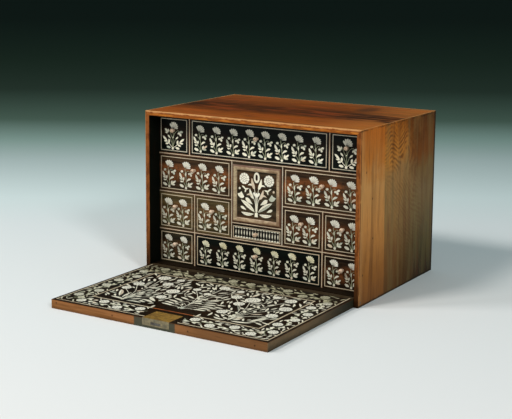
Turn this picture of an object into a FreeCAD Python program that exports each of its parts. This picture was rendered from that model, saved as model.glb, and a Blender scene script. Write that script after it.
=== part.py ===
import FreeCAD, Part
import os
import re
import Sketcher

# Fall-front table cabinet with a nest of fourteen drawers, its flap open as it stands in use.
# Millimetres. X runs along the width, -Y is the front and +Z is up. The origin is the centre of
# the carcase's underside, so the open flap reaches out from the front along -Y.

SIZES = {
    # Carcase of top, sides, floor and back; the floor is as thick as the flap
    "carcase_width": 540,
    "carcase_depth": 369,
    "carcase_height": 370,
    "board_thickness": 10.5,
    "back_thickness": 8,
    "back_rebate": 5,
    # Nest of shelves and partitions that holds the drawers
    "nest_recess": 38.5,
    "shelf_thickness": 5,
    "housing_depth": 3,
    "end_bay_width": 80,
    "centre_bay_width": 124,
    "baluster_bay_height": 31.55,
    "shelf_drop": 1.5,
    # Flap with its pivot pins in the lower edge
    "flap_thickness": 19,
    "flap_side_gap": 1,
    "flap_top_gap": 1.5,
    "floor_gap": 0.5,
    "pin_radius": 2.5,
    "pin_reach": 22,
    "pin_end_gap": 0.5,
    "pin_fit": 0.05,
    "pin_drive_fit": 0.02,
    # Drawer boards, and the gaps that they run in
    "front_thickness": 10,
    "front_lap": 4,
    "front_side_gap": 0.4,
    "front_gap_below": 0.3,
    "front_gap_above": 0.4,
    "drawer_side_thickness": 5,
    "drawer_floor_thickness": 4,
    "drawer_side_drop": 3,
    "drawer_back_drop": 4,
    "drawer_end_gap": 0.5,
    # Turned knob
    "knob_radius": 4.75,
    "knob_projection": 12.5,
    "knob_drop": 29.5,
    "knob_neck_radius": 2,
    "knob_rose_radius": 3.2,
    "knob_rose_thickness": 0.9,
    "knob_shank_radius": 1.8,
    "knob_shank_length": 7,
    "knob_fit": 0.05,
    "knob_bore_gap": 0.5,
    # Row of split turned balusters, let into a drawer front
    "baluster_count": 16,
    "balustrade_margin": 4.3,
    "balustrade_height": 22.5,
    "balustrade_base": 2.7,
    "balustrade_recess": 3,
    "baluster_end_radius": 3.4,
    "baluster_neck_radius": 1.3,
    "baluster_belly_radius": 2.3,
    "baluster_cap_height": 1.6,
    "baluster_cove_height": 2.4,
    "baluster_seat_gap": 0.1,
    "baluster_knob_shank_radius": 0.9,
    # Mitred cushion moulding round the deep drawer's panel
    "moulding_width": 11.25,
    "moulding_top_gap": 4.25,
    "moulding_edge": 1.2,
    "moulding_rise": 2.2,
    # Keyholes and the deep drawer's escutcheon
    "keyhole_width": 3,
    "keyhole_length": 12,
    "keyhole_eye_radius": 2.2,
    "escutcheon_width": 14.4,
    "escutcheon_height": 23.4,
    "escutcheon_thickness": 1.2,
    "escutcheon_drop": 28.75,
    "escutcheon_slot_radius": 3,
    "escutcheon_slot_length": 13.4,
    # Lock of the deep drawer, on the back of its front
    "drawer_lock_width": 36,
    "drawer_lock_height": 40,
    "drawer_lock_depth": 9,
    "drawer_lock_wall": 1.5,
    "drawer_bolt_width": 14,
    "drawer_bolt_thickness": 4,
    "drawer_bolt_length": 20,
    "drawer_bolt_travel": 3.6,
    "drawer_post_radius": 1.1,
    # Lock of the flap, let into its inner face and free edge
    "lock_offset": 4,
    "lock_plate_width": 64,
    "lock_plate_length": 48,
    "lock_plate_thickness": 1.2,
    "lock_edge_height": 14.3,
    "lock_case_margin": 5,
    "lock_case_depth": 12,
    "lock_case_wall": 1.5,
    "lock_bolt_width": 24,
    "lock_bolt_thickness": 5,
    "lock_bolt_length": 24,
    "lock_bolt_travel": 6,
    "lock_post_radius": 1.2,
    "lock_post_setback": 31,
    # Clearances of bolts in their slots and mortises, and of locks in the wood
    "bolt_fit": 0.2,
    "mortise_fit": 0.5,
    "mortise_end_gap": 0.8,
    "lock_fit": 0.2,
    # How far a cut runs past the face that it opens
    "cut_overrun": 1,
}

doc = FreeCAD.newDocument("cabinet")
sheet = doc.addObject("Spreadsheet::Sheet", "Sizes")
for row, (alias, number) in enumerate(SIZES.items(), start=1):
    sheet.set(f"A{row}", alias)
    sheet.set(f"B{row}", str(number))
    sheet.setAlias(f"B{row}", alias)
doc.recompute()

SUB_PARTS = []


def sized(expression):
    """An expression written in size names, as one that reads the sheet's cells"""
    return re.sub(r"[a-z]+(?:_[a-z]+)+", lambda word: "Sizes." + word.group(), str(expression))


def number_of(expression):
    """What an expression in size names comes to now"""
    return float(sheet.evalExpression(sized(expression)))


def place(item, x, y, z, rotation=FreeCAD.Rotation()):
    """Sets where a piece's own origin goes, and how the piece is turned"""
    item.Placement = FreeCAD.Placement(FreeCAD.Vector(), rotation)
    for axis, expression in zip("xyz", (x, y, z)):
        item.setExpression(f"Placement.Base.{axis}", sized(expression))
    return item


def block(name, low, high):
    """A board between its lowest and its highest corner"""
    board = doc.addObject("Part::Box", name)
    for side, start, end in zip(("Length", "Width", "Height"), low, high):
        board.setExpression(side, sized(f"({end}) - ({start})"))
    return place(board, *low)


ALONG_X = FreeCAD.Rotation(FreeCAD.Vector(0, 1, 0), 90)
ALONG_BACK = FreeCAD.Rotation(FreeCAD.Vector(1, 0, 0), -90)
UPRIGHT = FreeCAD.Rotation()


def rod(name, radius, length, start, rotation):
    """A round rod that starts at a point and runs the way its rotation says"""
    bar = doc.addObject("Part::Cylinder", name)
    bar.setExpression("Radius", sized(radius))
    bar.setExpression("Height", sized(length))
    return place(bar, *start, rotation)


def joined(name, pieces):
    """One solid out of pieces that overlap, or one cutting tool out of several"""
    union = doc.addObject("Part::MultiFuse", name)
    union.Shapes = pieces
    return union


def cut(name, base, tools):
    """A piece less the shape of its tools"""
    rest = doc.addObject("Part::Cut", name)
    rest.Base = base
    rest.Tool = tools[0] if len(tools) == 1 else joined(name + "_tools", tools)
    return rest


def group(name, pieces):
    """Separate solids that share one sub-part"""
    bundle = doc.addObject("Part::Compound", name)
    bundle.Links = pieces
    return bundle


def sub_part(name, item):
    """Names an object as one of the cabinet's pieces"""
    item.Label = name
    SUB_PARTS.append(item)
    return item


def round_between(across, along):
    """Radius of an arc that ends parallel to a piece's axis and spans these two distances"""
    return f"((({across})^2 + ({along})^2) / (2 * ({across})))"


def segment_radius(chord, rise):
    """Radius of an arc of this chord and rise"""
    return f"(((({chord}) / 2)^2 + ({rise})^2) / (2 * ({rise})))"


def outline(body, name, plane, corners, rounds=None):
    """A closed sketch through its corners. rounds gives, by corner, the radius of the arc that
    follows it, and whether that arc swells to the right of its way (1) or to the left (-1)."""
    rounds = rounds or {}
    sketch = body.newObject("Sketcher::SketchObject", name)
    origin_plane = [item for item in body.Origin.OriginFeatures if item.Role == plane][0]
    sketch.AttachmentSupport = [(origin_plane, "")]
    sketch.MapMode = "FlatFace"
    points = [FreeCAD.Vector(number_of(x), number_of(y), 0) for x, y in corners]
    starts = []
    ends = []
    for index, start in enumerate(points):
        end = points[(index + 1) % len(points)]
        if index in rounds:
            radius_expression, hand = rounds[index]
            radius = number_of(radius_expression)
            half_chord = (end - start).Length / 2
            rise = radius - max(radius**2 - half_chord**2, 0)**0.5
            way = (end - start).normalize()
            swell = FreeCAD.Vector(way.y, -way.x, 0) * (hand * rise)
            edge = sketch.addGeometry(Part.Arc(start, (start + end) / 2 + swell, end))
            first_is_start = (sketch.getPoint(edge, 1) - start).Length < half_chord
            starts.append((edge, 1 if first_is_start else 2))
            ends.append((edge, 2 if first_is_start else 1))
        else:
            edge = sketch.addGeometry(Part.LineSegment(start, end))
            starts.append((edge, 1))
            ends.append((edge, 2))
    for index, (start, (x, y)) in enumerate(zip(starts, corners)):
        following = starts[(index + 1) % len(starts)]
        sketch.addConstraint(Sketcher.Constraint("Coincident", *ends[index], *following))
        for kind, expression in (("DistanceX", x), ("DistanceY", y)):
            mark = Sketcher.Constraint(kind, -1, 1, *start, number_of(expression))
            held = sketch.addConstraint(mark)
            sketch.setExpression(f"Constraints[{held}]", sized(expression))
        if index in rounds:
            radius_expression = rounds[index][0]
            mark = Sketcher.Constraint("Radius", starts[index][0], number_of(radius_expression))
            held = sketch.addConstraint(mark)
            sketch.setExpression(f"Constraints[{held}]", sized(radius_expression))
    return sketch


def padded(name, plane, corners, length, rounds=None):
    """A body with one profile, pushed out square to its plane"""
    body = doc.addObject("PartDesign::Body", name)
    sketch = outline(body, name + "_profile", plane, corners, rounds)
    pad = body.newObject("PartDesign::Pad", name + "_pad")
    pad.Profile = sketch
    pad.setExpression("Length", sized(length))
    return body


def turned(name, plane, corners, rounds, angle):
    """A body turned about its profile's upright axis, and its turning"""
    body = doc.addObject("PartDesign::Body", name)
    sketch = outline(body, name + "_profile", plane, corners, rounds)
    turning = body.newObject("PartDesign::Revolution", name + "_turning")
    turning.Profile = sketch
    turning.ReferenceAxis = (sketch, ["V_Axis"])
    turning.Angle = angle
    return body, turning


# Planes and edges that several pieces share
OUTER_SIDE = "(carcase_width / 2)"
INNER_SIDE = "(carcase_width / 2 - board_thickness)"
CASE_FRONT = "(-carcase_depth / 2)"
CASE_BACK = "(carcase_depth / 2)"
BACK_FACE = f"({CASE_BACK} - back_thickness)"
TOP_UNDERSIDE = "(carcase_height - board_thickness)"
FLOOR_TOP = "flap_thickness"
NEST_FRONT = f"({CASE_FRONT} + nest_recess)"

# The flap turns about the middle of its own thickness, one half thickness in from the front
PIVOT_HEIGHT = "(flap_thickness / 2)"
PIVOT_DEPTH = f"({CASE_FRONT} + flap_thickness / 2)"
FLAP_HALF_WIDTH = f"({INNER_SIDE} - flap_side_gap)"
FLAP_LENGTH = f"({TOP_UNDERSIDE} - flap_top_gap - {PIVOT_HEIGHT})"
FLAP_EDGE = f"({PIVOT_DEPTH} - {FLAP_LENGTH})"

# Four rows, evenly spaced, and set a little low between the carcase's inner faces
ROW_COUNT = 4
ROW_PITCH = f"((carcase_height - 2 * board_thickness) / {ROW_COUNT})"


def shelf_faces(number):
    """Lower and upper face of the shelf with this many rows below it"""
    middle = f"board_thickness + {number} * {ROW_PITCH} - shelf_drop"
    return f"({middle} - shelf_thickness / 2)", f"({middle} + shelf_thickness / 2)"


LOW_SHELF, MIDDLE_SHELF, HIGH_SHELF = (shelf_faces(number) for number in range(1, ROW_COUNT))
NEST_TOP = f"({TOP_UNDERSIDE} - shelf_thickness)"
RAIL_UNDERSIDE = f"({LOW_SHELF[1]} + baluster_bay_height)"
RAIL = (RAIL_UNDERSIDE, f"({RAIL_UNDERSIDE} + shelf_thickness)")

# Faces of the right-hand partitions, from the middle of the cabinet outwards
CENTRE_WALL = ("(centre_bay_width / 2)", "(centre_bay_width / 2 + shelf_thickness)")
BAY_MIDDLE = f"(({CENTRE_WALL[1]} + {INNER_SIDE}) / 2)"
BAY_WALL = (f"({BAY_MIDDLE} - shelf_thickness / 2)", f"({BAY_MIDDLE} + shelf_thickness / 2)")
END_WALL_OUTER = f"({INNER_SIDE} - end_bay_width)"
END_WALL = (f"({END_WALL_OUTER} - shelf_thickness)", END_WALL_OUTER)

# Places of the flap's lock, with the flap lying open
LOCK_LEFT = "(lock_offset - lock_plate_width / 2)"
LOCK_RIGHT = "(lock_offset + lock_plate_width / 2)"
LOCK_PLATE_FACE = "(flap_thickness - lock_plate_thickness)"
LOCK_CASE_FLOOR = f"({LOCK_PLATE_FACE} - lock_case_depth)"
LOCK_CASE_FRONT = f"({FLAP_EDGE} + lock_plate_thickness)"
LOCK_CASE_BACK = f"({FLAP_EDGE} + lock_plate_length - lock_case_margin)"
LOCK_CASE_LEFT = f"({LOCK_LEFT} + lock_case_margin)"
LOCK_CASE_RIGHT = f"({LOCK_RIGHT} - lock_case_margin)"
LOCK_BOLT_LOW = f"({LOCK_CASE_FLOOR} + lock_case_wall + bolt_fit)"
LOCK_BOLT_HIGH = f"({LOCK_BOLT_LOW} + lock_bolt_thickness)"
LOCK_POST_DEPTH = f"({FLAP_EDGE} + lock_post_setback)"

# Balusters stand side by side from margin to margin of their drawer's front
BALUSTRADE_HALF_WIDTH = "(centre_bay_width / 2 - front_side_gap - balustrade_margin)"
BALUSTER_PITCH = f"(2 * {BALUSTRADE_HALF_WIDTH} / baluster_count)"

# Places of the deep drawer's front, moulding and lock
DEEP_FRONT_LOW = f"({RAIL[1]} + front_gap_below)"
DEEP_FRONT_TOP = f"({HIGH_SHELF[0]} - front_gap_above)"
MOULDING_TOP = f"({DEEP_FRONT_TOP} - moulding_top_gap)"
MOULDING_HEIGHT = f"({MOULDING_TOP} - {DEEP_FRONT_LOW})"
DRAWER_LOCK_FACE = f"({NEST_FRONT} + front_thickness)"
DRAWER_LOCK_BACK = f"({DRAWER_LOCK_FACE} + drawer_lock_depth)"
DRAWER_BOLT_FRONT = f"({DRAWER_LOCK_FACE} + (drawer_lock_depth - drawer_bolt_thickness) / 2)"
DRAWER_BOLT_BACK = f"({DRAWER_BOLT_FRONT} + drawer_bolt_thickness)"
ESCUTCHEON_HEIGHT = f"({DEEP_FRONT_TOP} - escutcheon_drop)"


def grown(low, high, allowances):
    """Corners moved apart by an allowance along each axis"""
    lower = [f"({corner}) - ({room})" for corner, room in zip(low, allowances)]
    upper = [f"({corner}) + ({room})" for corner, room in zip(high, allowances)]
    return lower, upper


def side_board(name, hand):
    """A carcase side: mitred to the top, rebated for the back and housed for the shelves"""
    outer = f"{hand} * {OUTER_SIDE}"
    inner = f"{hand} * {INNER_SIDE}"
    corners = [
        (outer, "0"),
        (inner, "0"),
        (inner, TOP_UNDERSIDE),
        (outer, "carcase_height"),
    ]
    board = padded(name + "_board", "XZ_Plane", corners, "carcase_depth")
    place(board, "0", CASE_BACK, "0")

    def pocket(label, sunk, y_range, z_range):
        ends = (f"{hand} * ({INNER_SIDE} + {sunk})", f"{hand} * ({INNER_SIDE} - cut_overrun)")
        left, right = ends if hand < 0 else reversed(ends)
        return block(f"{name}_{label}", (left, y_range[0], z_range[0]), (right, y_range[1], z_range[1]))

    rebate_top = f"{TOP_UNDERSIDE} + back_rebate"
    past_back = f"{CASE_BACK} + cut_overrun"
    tools = [pocket("rebate", "back_rebate", (BACK_FACE, past_back), ("-cut_overrun", rebate_top))]
    for label, faces in (("low", LOW_SHELF), ("middle", MIDDLE_SHELF), ("high", HIGH_SHELF)):
        tools.append(pocket(f"{label}_housing", "housing_depth", (NEST_FRONT, BACK_FACE), faces))
    bore_start = f"{OUTER_SIDE} + cut_overrun" if hand < 0 else f"-({INNER_SIDE} - cut_overrun)"
    tools.append(rod(
        name + "_pin_bore",
        "pin_radius + pin_drive_fit",
        "board_thickness + 2 * cut_overrun",
        (f"-({bore_start})", PIVOT_DEPTH, PIVOT_HEIGHT),
        ALONG_X,
    ))
    return sub_part(name, cut(name, board, tools))


def top_board():
    """The top: mitred to both sides, rebated for the back and mortised for the flap's bolt"""
    corners = [
        (f"-{OUTER_SIDE}", "carcase_height"),
        (f"-{INNER_SIDE}", TOP_UNDERSIDE),
        (INNER_SIDE, TOP_UNDERSIDE),
        (OUTER_SIDE, "carcase_height"),
    ]
    board = place(padded("top_board", "XZ_Plane", corners, "carcase_depth"), "0", CASE_BACK, "0")
    rebate = block(
        "top_rebate",
        (f"-({INNER_SIDE} + back_rebate)", BACK_FACE, f"{TOP_UNDERSIDE} - cut_overrun"),
        (f"{INNER_SIDE} + back_rebate", f"{CASE_BACK} + cut_overrun", f"{TOP_UNDERSIDE} + back_rebate"),
    )
    # With the flap closed, what lay at a height on it stands at that distance behind the front
    reach = "lock_bolt_travel - flap_top_gap + mortise_end_gap"
    mortise = block(
        "bolt_mortise",
        (
            "lock_offset - lock_bolt_width / 2 - mortise_fit",
            f"{CASE_FRONT} + {LOCK_BOLT_LOW} - mortise_fit",
            f"{TOP_UNDERSIDE} - cut_overrun",
        ),
        (
            "lock_offset + lock_bolt_width / 2 + mortise_fit",
            f"{CASE_FRONT} + {LOCK_BOLT_HIGH} + mortise_fit",
            f"{TOP_UNDERSIDE} + {reach}",
        ),
    )
    return sub_part("case_top", cut("case_top", board, [rebate, mortise]))


def carcase():
    """The five boards that make the case"""
    top_board()
    side_board("side_left", -1)
    side_board("side_right", 1)
    floor_front = f"{CASE_FRONT} + flap_thickness + floor_gap"
    sub_part("case_bottom", block(
        "case_bottom", (f"-{INNER_SIDE}", floor_front, "0"), (INNER_SIDE, BACK_FACE, FLOOR_TOP)
    ))
    sub_part("case_back", block(
        "case_back",
        (f"-({INNER_SIDE} + back_rebate)", BACK_FACE, "0"),
        (f"{INNER_SIDE} + back_rebate", CASE_BACK, f"{TOP_UNDERSIDE} + back_rebate"),
    ))


def long_shelves():
    """The shelves that run from side to side, and the board of the nest that lies under the top.
    The upper shelf has the drawer bolt's mortise."""
    housed = f"({INNER_SIDE} + housing_depth)"
    low, high = (
        block(f"{label}_shelf", (f"-{housed}", NEST_FRONT, faces[0]), (housed, BACK_FACE, faces[1]))
        for label, faces in (("low", LOW_SHELF), ("high", HIGH_SHELF))
    )
    reach = "drawer_bolt_travel - front_gap_above + mortise_end_gap"
    mortise = block(
        "drawer_bolt_mortise",
        (
            "-(drawer_bolt_width / 2 + mortise_fit)",
            f"{DRAWER_BOLT_FRONT} - mortise_fit",
            f"{HIGH_SHELF[0]} - cut_overrun",
        ),
        (
            "drawer_bolt_width / 2 + mortise_fit",
            f"{DRAWER_BOLT_BACK} + mortise_fit",
            f"{HIGH_SHELF[0]} + {reach}",
        ),
    )
    cover = nest_board("nest_cover", (f"-{INNER_SIDE}", INNER_SIDE), (NEST_TOP, TOP_UNDERSIDE))
    long_boards = [low, cut("high_shelf_cut", high, [mortise]), cover]
    return sub_part("shelves_long", group("shelves_long", long_boards))


def mirrored(faces):
    """The same pair of faces on the left-hand side"""
    return f"-{faces[1]}", f"-{faces[0]}"


def nest_board(name, x_faces, z_faces):
    """A shelf or partition from the nest's front to the back board"""
    return block(name, (x_faces[0], NEST_FRONT, z_faces[0]), (x_faces[1], BACK_FACE, z_faces[1]))


def nest():
    """Shelves and partitions between the carcase's boards"""
    long_shelves()
    side_bay = (CENTRE_WALL[1], f"({INNER_SIDE} + housing_depth)")
    centre_bay = (f"-{CENTRE_WALL[0]}", CENTRE_WALL[0])
    sub_part("shelves_short", group("shelves_short", [
        nest_board("middle_shelf_left", mirrored(side_bay), MIDDLE_SHELF),
        nest_board("middle_shelf_right", side_bay, MIDDLE_SHELF),
        nest_board("centre_rail", centre_bay, RAIL),
    ]))
    uprights = {
        "top": (END_WALL, (HIGH_SHELF[1], NEST_TOP)),
        "lower": (BAY_WALL, (LOW_SHELF[1], MIDDLE_SHELF[0])),
        "bottom": (BAY_WALL, (FLOOR_TOP, LOW_SHELF[0])),
    }
    short = []
    for label, (wall, span) in uprights.items():
        short.append(nest_board(f"{label}_partition_left", mirrored(wall), span))
        short.append(nest_board(f"{label}_partition_right", wall, span))
    sub_part("partitions_short", group("partitions_short", short))
    tall_span = (LOW_SHELF[1], HIGH_SHELF[0])
    sub_part("partitions_tall", group("partitions_tall", [
        nest_board("centre_partition_left", mirrored(CENTRE_WALL), tall_span),
        nest_board("centre_partition_right", CENTRE_WALL, tall_span),
    ]))


def pivot_pins():
    """Pins driven through both sides, on which the flap turns"""
    length = "board_thickness + flap_side_gap + pin_reach"
    sub_part("pivot_pins", group("pivot_pins", [
        rod("pin_left", "pin_radius", length, (f"-{OUTER_SIDE}", PIVOT_DEPTH, PIVOT_HEIGHT), ALONG_X),
        rod(
            "pin_right",
            "pin_radius",
            length,
            (f"{OUTER_SIDE} - ({length})", PIVOT_DEPTH, PIVOT_HEIGHT),
            ALONG_X,
        ),
    ]))


def flap_board():
    """The flap: rounded about its pins, and cut for them and for its lock"""
    half = "(flap_thickness / 2)"
    quarter = (round_between(half, half), 1)
    corners = [
        (FLAP_EDGE, "0"),
        (PIVOT_DEPTH, "0"),
        (f"{PIVOT_DEPTH} + {half}", half),
        (PIVOT_DEPTH, "flap_thickness"),
        (FLAP_EDGE, "flap_thickness"),
    ]
    board = padded(
        "flap_board", "YZ_Plane", corners, f"2 * {FLAP_HALF_WIDTH}", {1: quarter, 2: quarter}
    )
    place(board, f"-{FLAP_HALF_WIDTH}", "0", "0")
    bore = ("pin_radius + pin_fit", "pin_reach + pin_end_gap + cut_overrun")
    tools = [
        rod(
            "flap_bore_left",
            *bore,
            (f"-{FLAP_HALF_WIDTH} - cut_overrun", PIVOT_DEPTH, PIVOT_HEIGHT),
            ALONG_X,
        ),
        rod(
            "flap_bore_right",
            *bore,
            (f"{FLAP_HALF_WIDTH} - pin_reach - pin_end_gap", PIVOT_DEPTH, PIVOT_HEIGHT),
            ALONG_X,
        ),
        block(
            "plate_recess",
            (LOCK_LEFT, f"{FLAP_EDGE} - cut_overrun", LOCK_PLATE_FACE),
            (LOCK_RIGHT, f"{FLAP_EDGE} + lock_plate_length", "flap_thickness + cut_overrun"),
        ),
        block(
            "edge_recess",
            (LOCK_LEFT, f"{FLAP_EDGE} - cut_overrun", "flap_thickness - lock_edge_height"),
            (LOCK_RIGHT, LOCK_CASE_FRONT, "flap_thickness + cut_overrun"),
        ),
        block(
            "case_mortise",
            (f"{LOCK_CASE_LEFT} - lock_fit", f"{LOCK_CASE_FRONT} - cut_overrun", LOCK_CASE_FLOOR),
            (f"{LOCK_CASE_RIGHT} + lock_fit", f"{LOCK_CASE_BACK} + lock_fit", "flap_thickness"),
        ),
        flap_keyhole("flap_keyhole", "-cut_overrun", f"{LOCK_CASE_FLOOR} + cut_overrun"),
    ]
    return sub_part("flap", cut("flap", board, tools))


def flap_keyhole(name, low, high):
    """A keyhole shape between two heights, its eye round the lock's post"""
    slot_end = f"{LOCK_POST_DEPTH} - (keyhole_length - keyhole_eye_radius)"
    slot = block(
        name + "_slot",
        ("lock_offset - keyhole_width / 2", slot_end, low),
        ("lock_offset + keyhole_width / 2", LOCK_POST_DEPTH, high),
    )
    eye = rod(
        name + "_eye",
        "keyhole_eye_radius",
        f"({high}) - ({low})",
        ("lock_offset", LOCK_POST_DEPTH, low),
        UPRIGHT,
    )
    return joined(name, [slot, eye])


def flap_lock():
    """Plate with its folded edge and key post, case, and the bolt that shoots from the edge"""
    face = block(
        "plate_face",
        (LOCK_LEFT, FLAP_EDGE, LOCK_PLATE_FACE),
        (LOCK_RIGHT, f"{FLAP_EDGE} + lock_plate_length", "flap_thickness"),
    )
    fold = block(
        "plate_fold",
        (LOCK_LEFT, FLAP_EDGE, "flap_thickness - lock_edge_height"),
        (LOCK_RIGHT, LOCK_CASE_FRONT, "flap_thickness"),
    )
    post = rod(
        "key_post",
        "lock_post_radius",
        f"lock_case_depth + {LOCK_CASE_FLOOR} / 2",
        ("lock_offset", LOCK_POST_DEPTH, f"{LOCK_CASE_FLOOR} / 2"),
        UPRIGHT,
    )
    bolt_low = ("lock_offset - lock_bolt_width / 2", FLAP_EDGE, LOCK_BOLT_LOW)
    bolt_high = ("lock_offset + lock_bolt_width / 2", f"{FLAP_EDGE} + lock_bolt_length", LOCK_BOLT_HIGH)
    room_for_bolt = grown(bolt_low, bolt_high, ("bolt_fit", "cut_overrun", "bolt_fit"))
    slot = block("plate_bolt_slot", *room_for_bolt)
    plate = joined("plate_blank", [face, fold, post])
    sub_part("lock_plate", cut("lock_plate", plate, [slot]))

    shell = block(
        "case_shell",
        (LOCK_CASE_LEFT, LOCK_CASE_FRONT, LOCK_CASE_FLOOR),
        (LOCK_CASE_RIGHT, LOCK_CASE_BACK, LOCK_PLATE_FACE),
    )
    room = block(
        "case_room",
        (
            f"{LOCK_CASE_LEFT} + lock_case_wall",
            f"{LOCK_CASE_FRONT} + lock_case_wall",
            f"{LOCK_CASE_FLOOR} + lock_case_wall",
        ),
        (
            f"{LOCK_CASE_RIGHT} - lock_case_wall",
            f"{LOCK_CASE_BACK} - lock_case_wall",
            f"{LOCK_PLATE_FACE} + cut_overrun",
        ),
    )
    window = block("case_bolt_slot", *room_for_bolt)
    keyhole = flap_keyhole(
        "case_keyhole",
        f"{LOCK_CASE_FLOOR} - cut_overrun",
        f"{LOCK_CASE_FLOOR} + lock_case_wall + cut_overrun",
    )
    sub_part("lock_case", cut("lock_case", shell, [room, window, keyhole]))
    sub_part("lock_bolt", block("lock_bolt", bolt_low, bolt_high))


def knob(name, x, z, seat, shank_radius, shank_length):
    """A turned ball knob whose rose sits on the plane at seat, with a shank behind it"""
    ball_middle = "(knob_projection - knob_radius)"
    neck_end = f"({ball_middle} - sqrt(knob_radius^2 - knob_neck_radius^2))"
    corners = [
        ("0", f"-({shank_length})"),
        (shank_radius, f"-({shank_length})"),
        (shank_radius, "0"),
        ("knob_rose_radius", "0"),
        ("knob_rose_radius", "knob_rose_thickness"),
        ("knob_neck_radius", "knob_rose_thickness"),
        ("knob_neck_radius", neck_end),
        ("knob_radius", ball_middle),
        ("0", "knob_projection"),
    ]
    ball = ("knob_radius", 1)
    body, turning = turned(name, "XY_Plane", corners, {6: ball, 7: ball}, 360)
    place(body, x, seat, z, FreeCAD.Rotation(FreeCAD.Vector(0, 0, 1), 180))
    return sub_part(name, body)


class Bay:
    """The space of one drawer in the nest, and the places that its boards take from it"""

    def __init__(self, name, x_faces, z_faces):
        self.name = name
        self.left = f"({x_faces[0]} + front_side_gap)"
        self.right = f"({x_faces[1]} - front_side_gap)"
        self.low = f"({z_faces[0]} + front_gap_below)"
        self.top = f"({z_faces[1]} - front_gap_above)"
        self.front = NEST_FRONT
        self.front_back = f"({NEST_FRONT} + front_thickness)"
        self.lap = f"({NEST_FRONT} + front_lap)"
        self.back = f"({BACK_FACE} - drawer_end_gap)"
        self.floor_top = f"({self.low} + drawer_floor_thickness)"
        self.middle = f"(({self.left} + {self.right}) / 2)"

    def front_board(self, extra_tools):
        """The front, rebated behind for both sides and the drawer's floor"""
        name = self.name + "_front"
        board = block(
            name + "_board",
            (self.left, self.front, self.low),
            (self.right, self.front_back, self.top),
        )
        past_back = f"{self.front_back} + cut_overrun"
        wall_top = f"{self.top} - drawer_side_drop"
        left = block(
            name + "_left_rebate",
            (f"{self.left} - cut_overrun", self.lap, f"{self.low} - cut_overrun"),
            (f"{self.left} + drawer_side_thickness", past_back, wall_top),
        )
        right = block(
            name + "_right_rebate",
            (f"{self.right} - drawer_side_thickness", self.lap, f"{self.low} - cut_overrun"),
            (f"{self.right} + cut_overrun", past_back, wall_top),
        )
        under = block(
            name + "_floor_rebate",
            (f"{self.left} - cut_overrun", self.lap, f"{self.low} - cut_overrun"),
            (f"{self.right} + cut_overrun", past_back, self.floor_top),
        )
        return sub_part(name, cut(name, board, [left, right, under] + extra_tools))

    def box(self):
        """Floor, sides and back, each a board of its own"""
        name = self.name + "_box"
        wall_top = f"{self.top} - drawer_side_drop"
        inner_left = f"{self.left} + drawer_side_thickness"
        inner_right = f"{self.right} - drawer_side_thickness"
        floor_end = (self.right, self.back, self.floor_top)
        left_end = (inner_left, self.back, wall_top)
        right_end = (self.right, self.back, wall_top)
        return sub_part(name, group(name, [
            block(name + "_floor", (self.left, self.lap, self.low), floor_end),
            block(name + "_left", (self.left, self.lap, self.floor_top), left_end),
            block(name + "_right", (inner_right, self.lap, self.floor_top), right_end),
            block(
                name + "_back",
                (inner_left, f"{self.back} - drawer_side_thickness", self.floor_top),
                (inner_right, self.back, f"{wall_top} - drawer_back_drop"),
            ),
        ]))

    def knob_bore(self, height, start, shank_radius, shank_length):
        """A blind bore for the knob's shank"""
        return rod(
            self.name + "_knob_bore",
            f"{shank_radius} + knob_fit",
            f"{shank_length} + knob_bore_gap + cut_overrun",
            (self.middle, f"{start} - cut_overrun", height),
            ALONG_BACK,
        )


def plain_drawer(name, x_faces, z_faces):
    """A drawer with a flat front and one knob, which stands a little above its middle"""
    bay = Bay(name, x_faces, z_faces)
    shank = ("knob_shank_radius", "knob_shank_length")
    height = f"({bay.top} - knob_drop)"
    bay.front_board([bay.knob_bore(height, bay.front, *shank)])
    bay.box()
    knob(name + "_knob", bay.middle, height, bay.front, *shank)


def plain_drawers():
    """The twelve ordinary drawers of the four rows"""
    top_row = (HIGH_SHELF[1], NEST_TOP)
    upper_row = (MIDDLE_SHELF[1], HIGH_SHELF[0])
    lower_row = (LOW_SHELF[1], MIDDLE_SHELF[0])
    bottom_row = (FLOOR_TOP, LOW_SHELF[0])
    inner_bay = (CENTRE_WALL[1], BAY_WALL[0])
    outer_bay = (BAY_WALL[1], INNER_SIDE)
    paired = {
        "top": ((END_WALL[1], INNER_SIDE), top_row),
        "upper": ((CENTRE_WALL[1], INNER_SIDE), upper_row),
        "lower_inner": (inner_bay, lower_row),
        "lower_outer": (outer_bay, lower_row),
        "bottom": (outer_bay, bottom_row),
    }
    for label, (x_faces, z_faces) in paired.items():
        plain_drawer(f"{label}_left_drawer", mirrored(x_faces), z_faces)
        plain_drawer(f"{label}_right_drawer", x_faces, z_faces)
    plain_drawer("top_middle_drawer", (f"-{END_WALL[0]}", END_WALL[0]), top_row)
    plain_drawer("bottom_middle_drawer", (f"-{BAY_WALL[0]}", BAY_WALL[0]), bottom_row)


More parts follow.
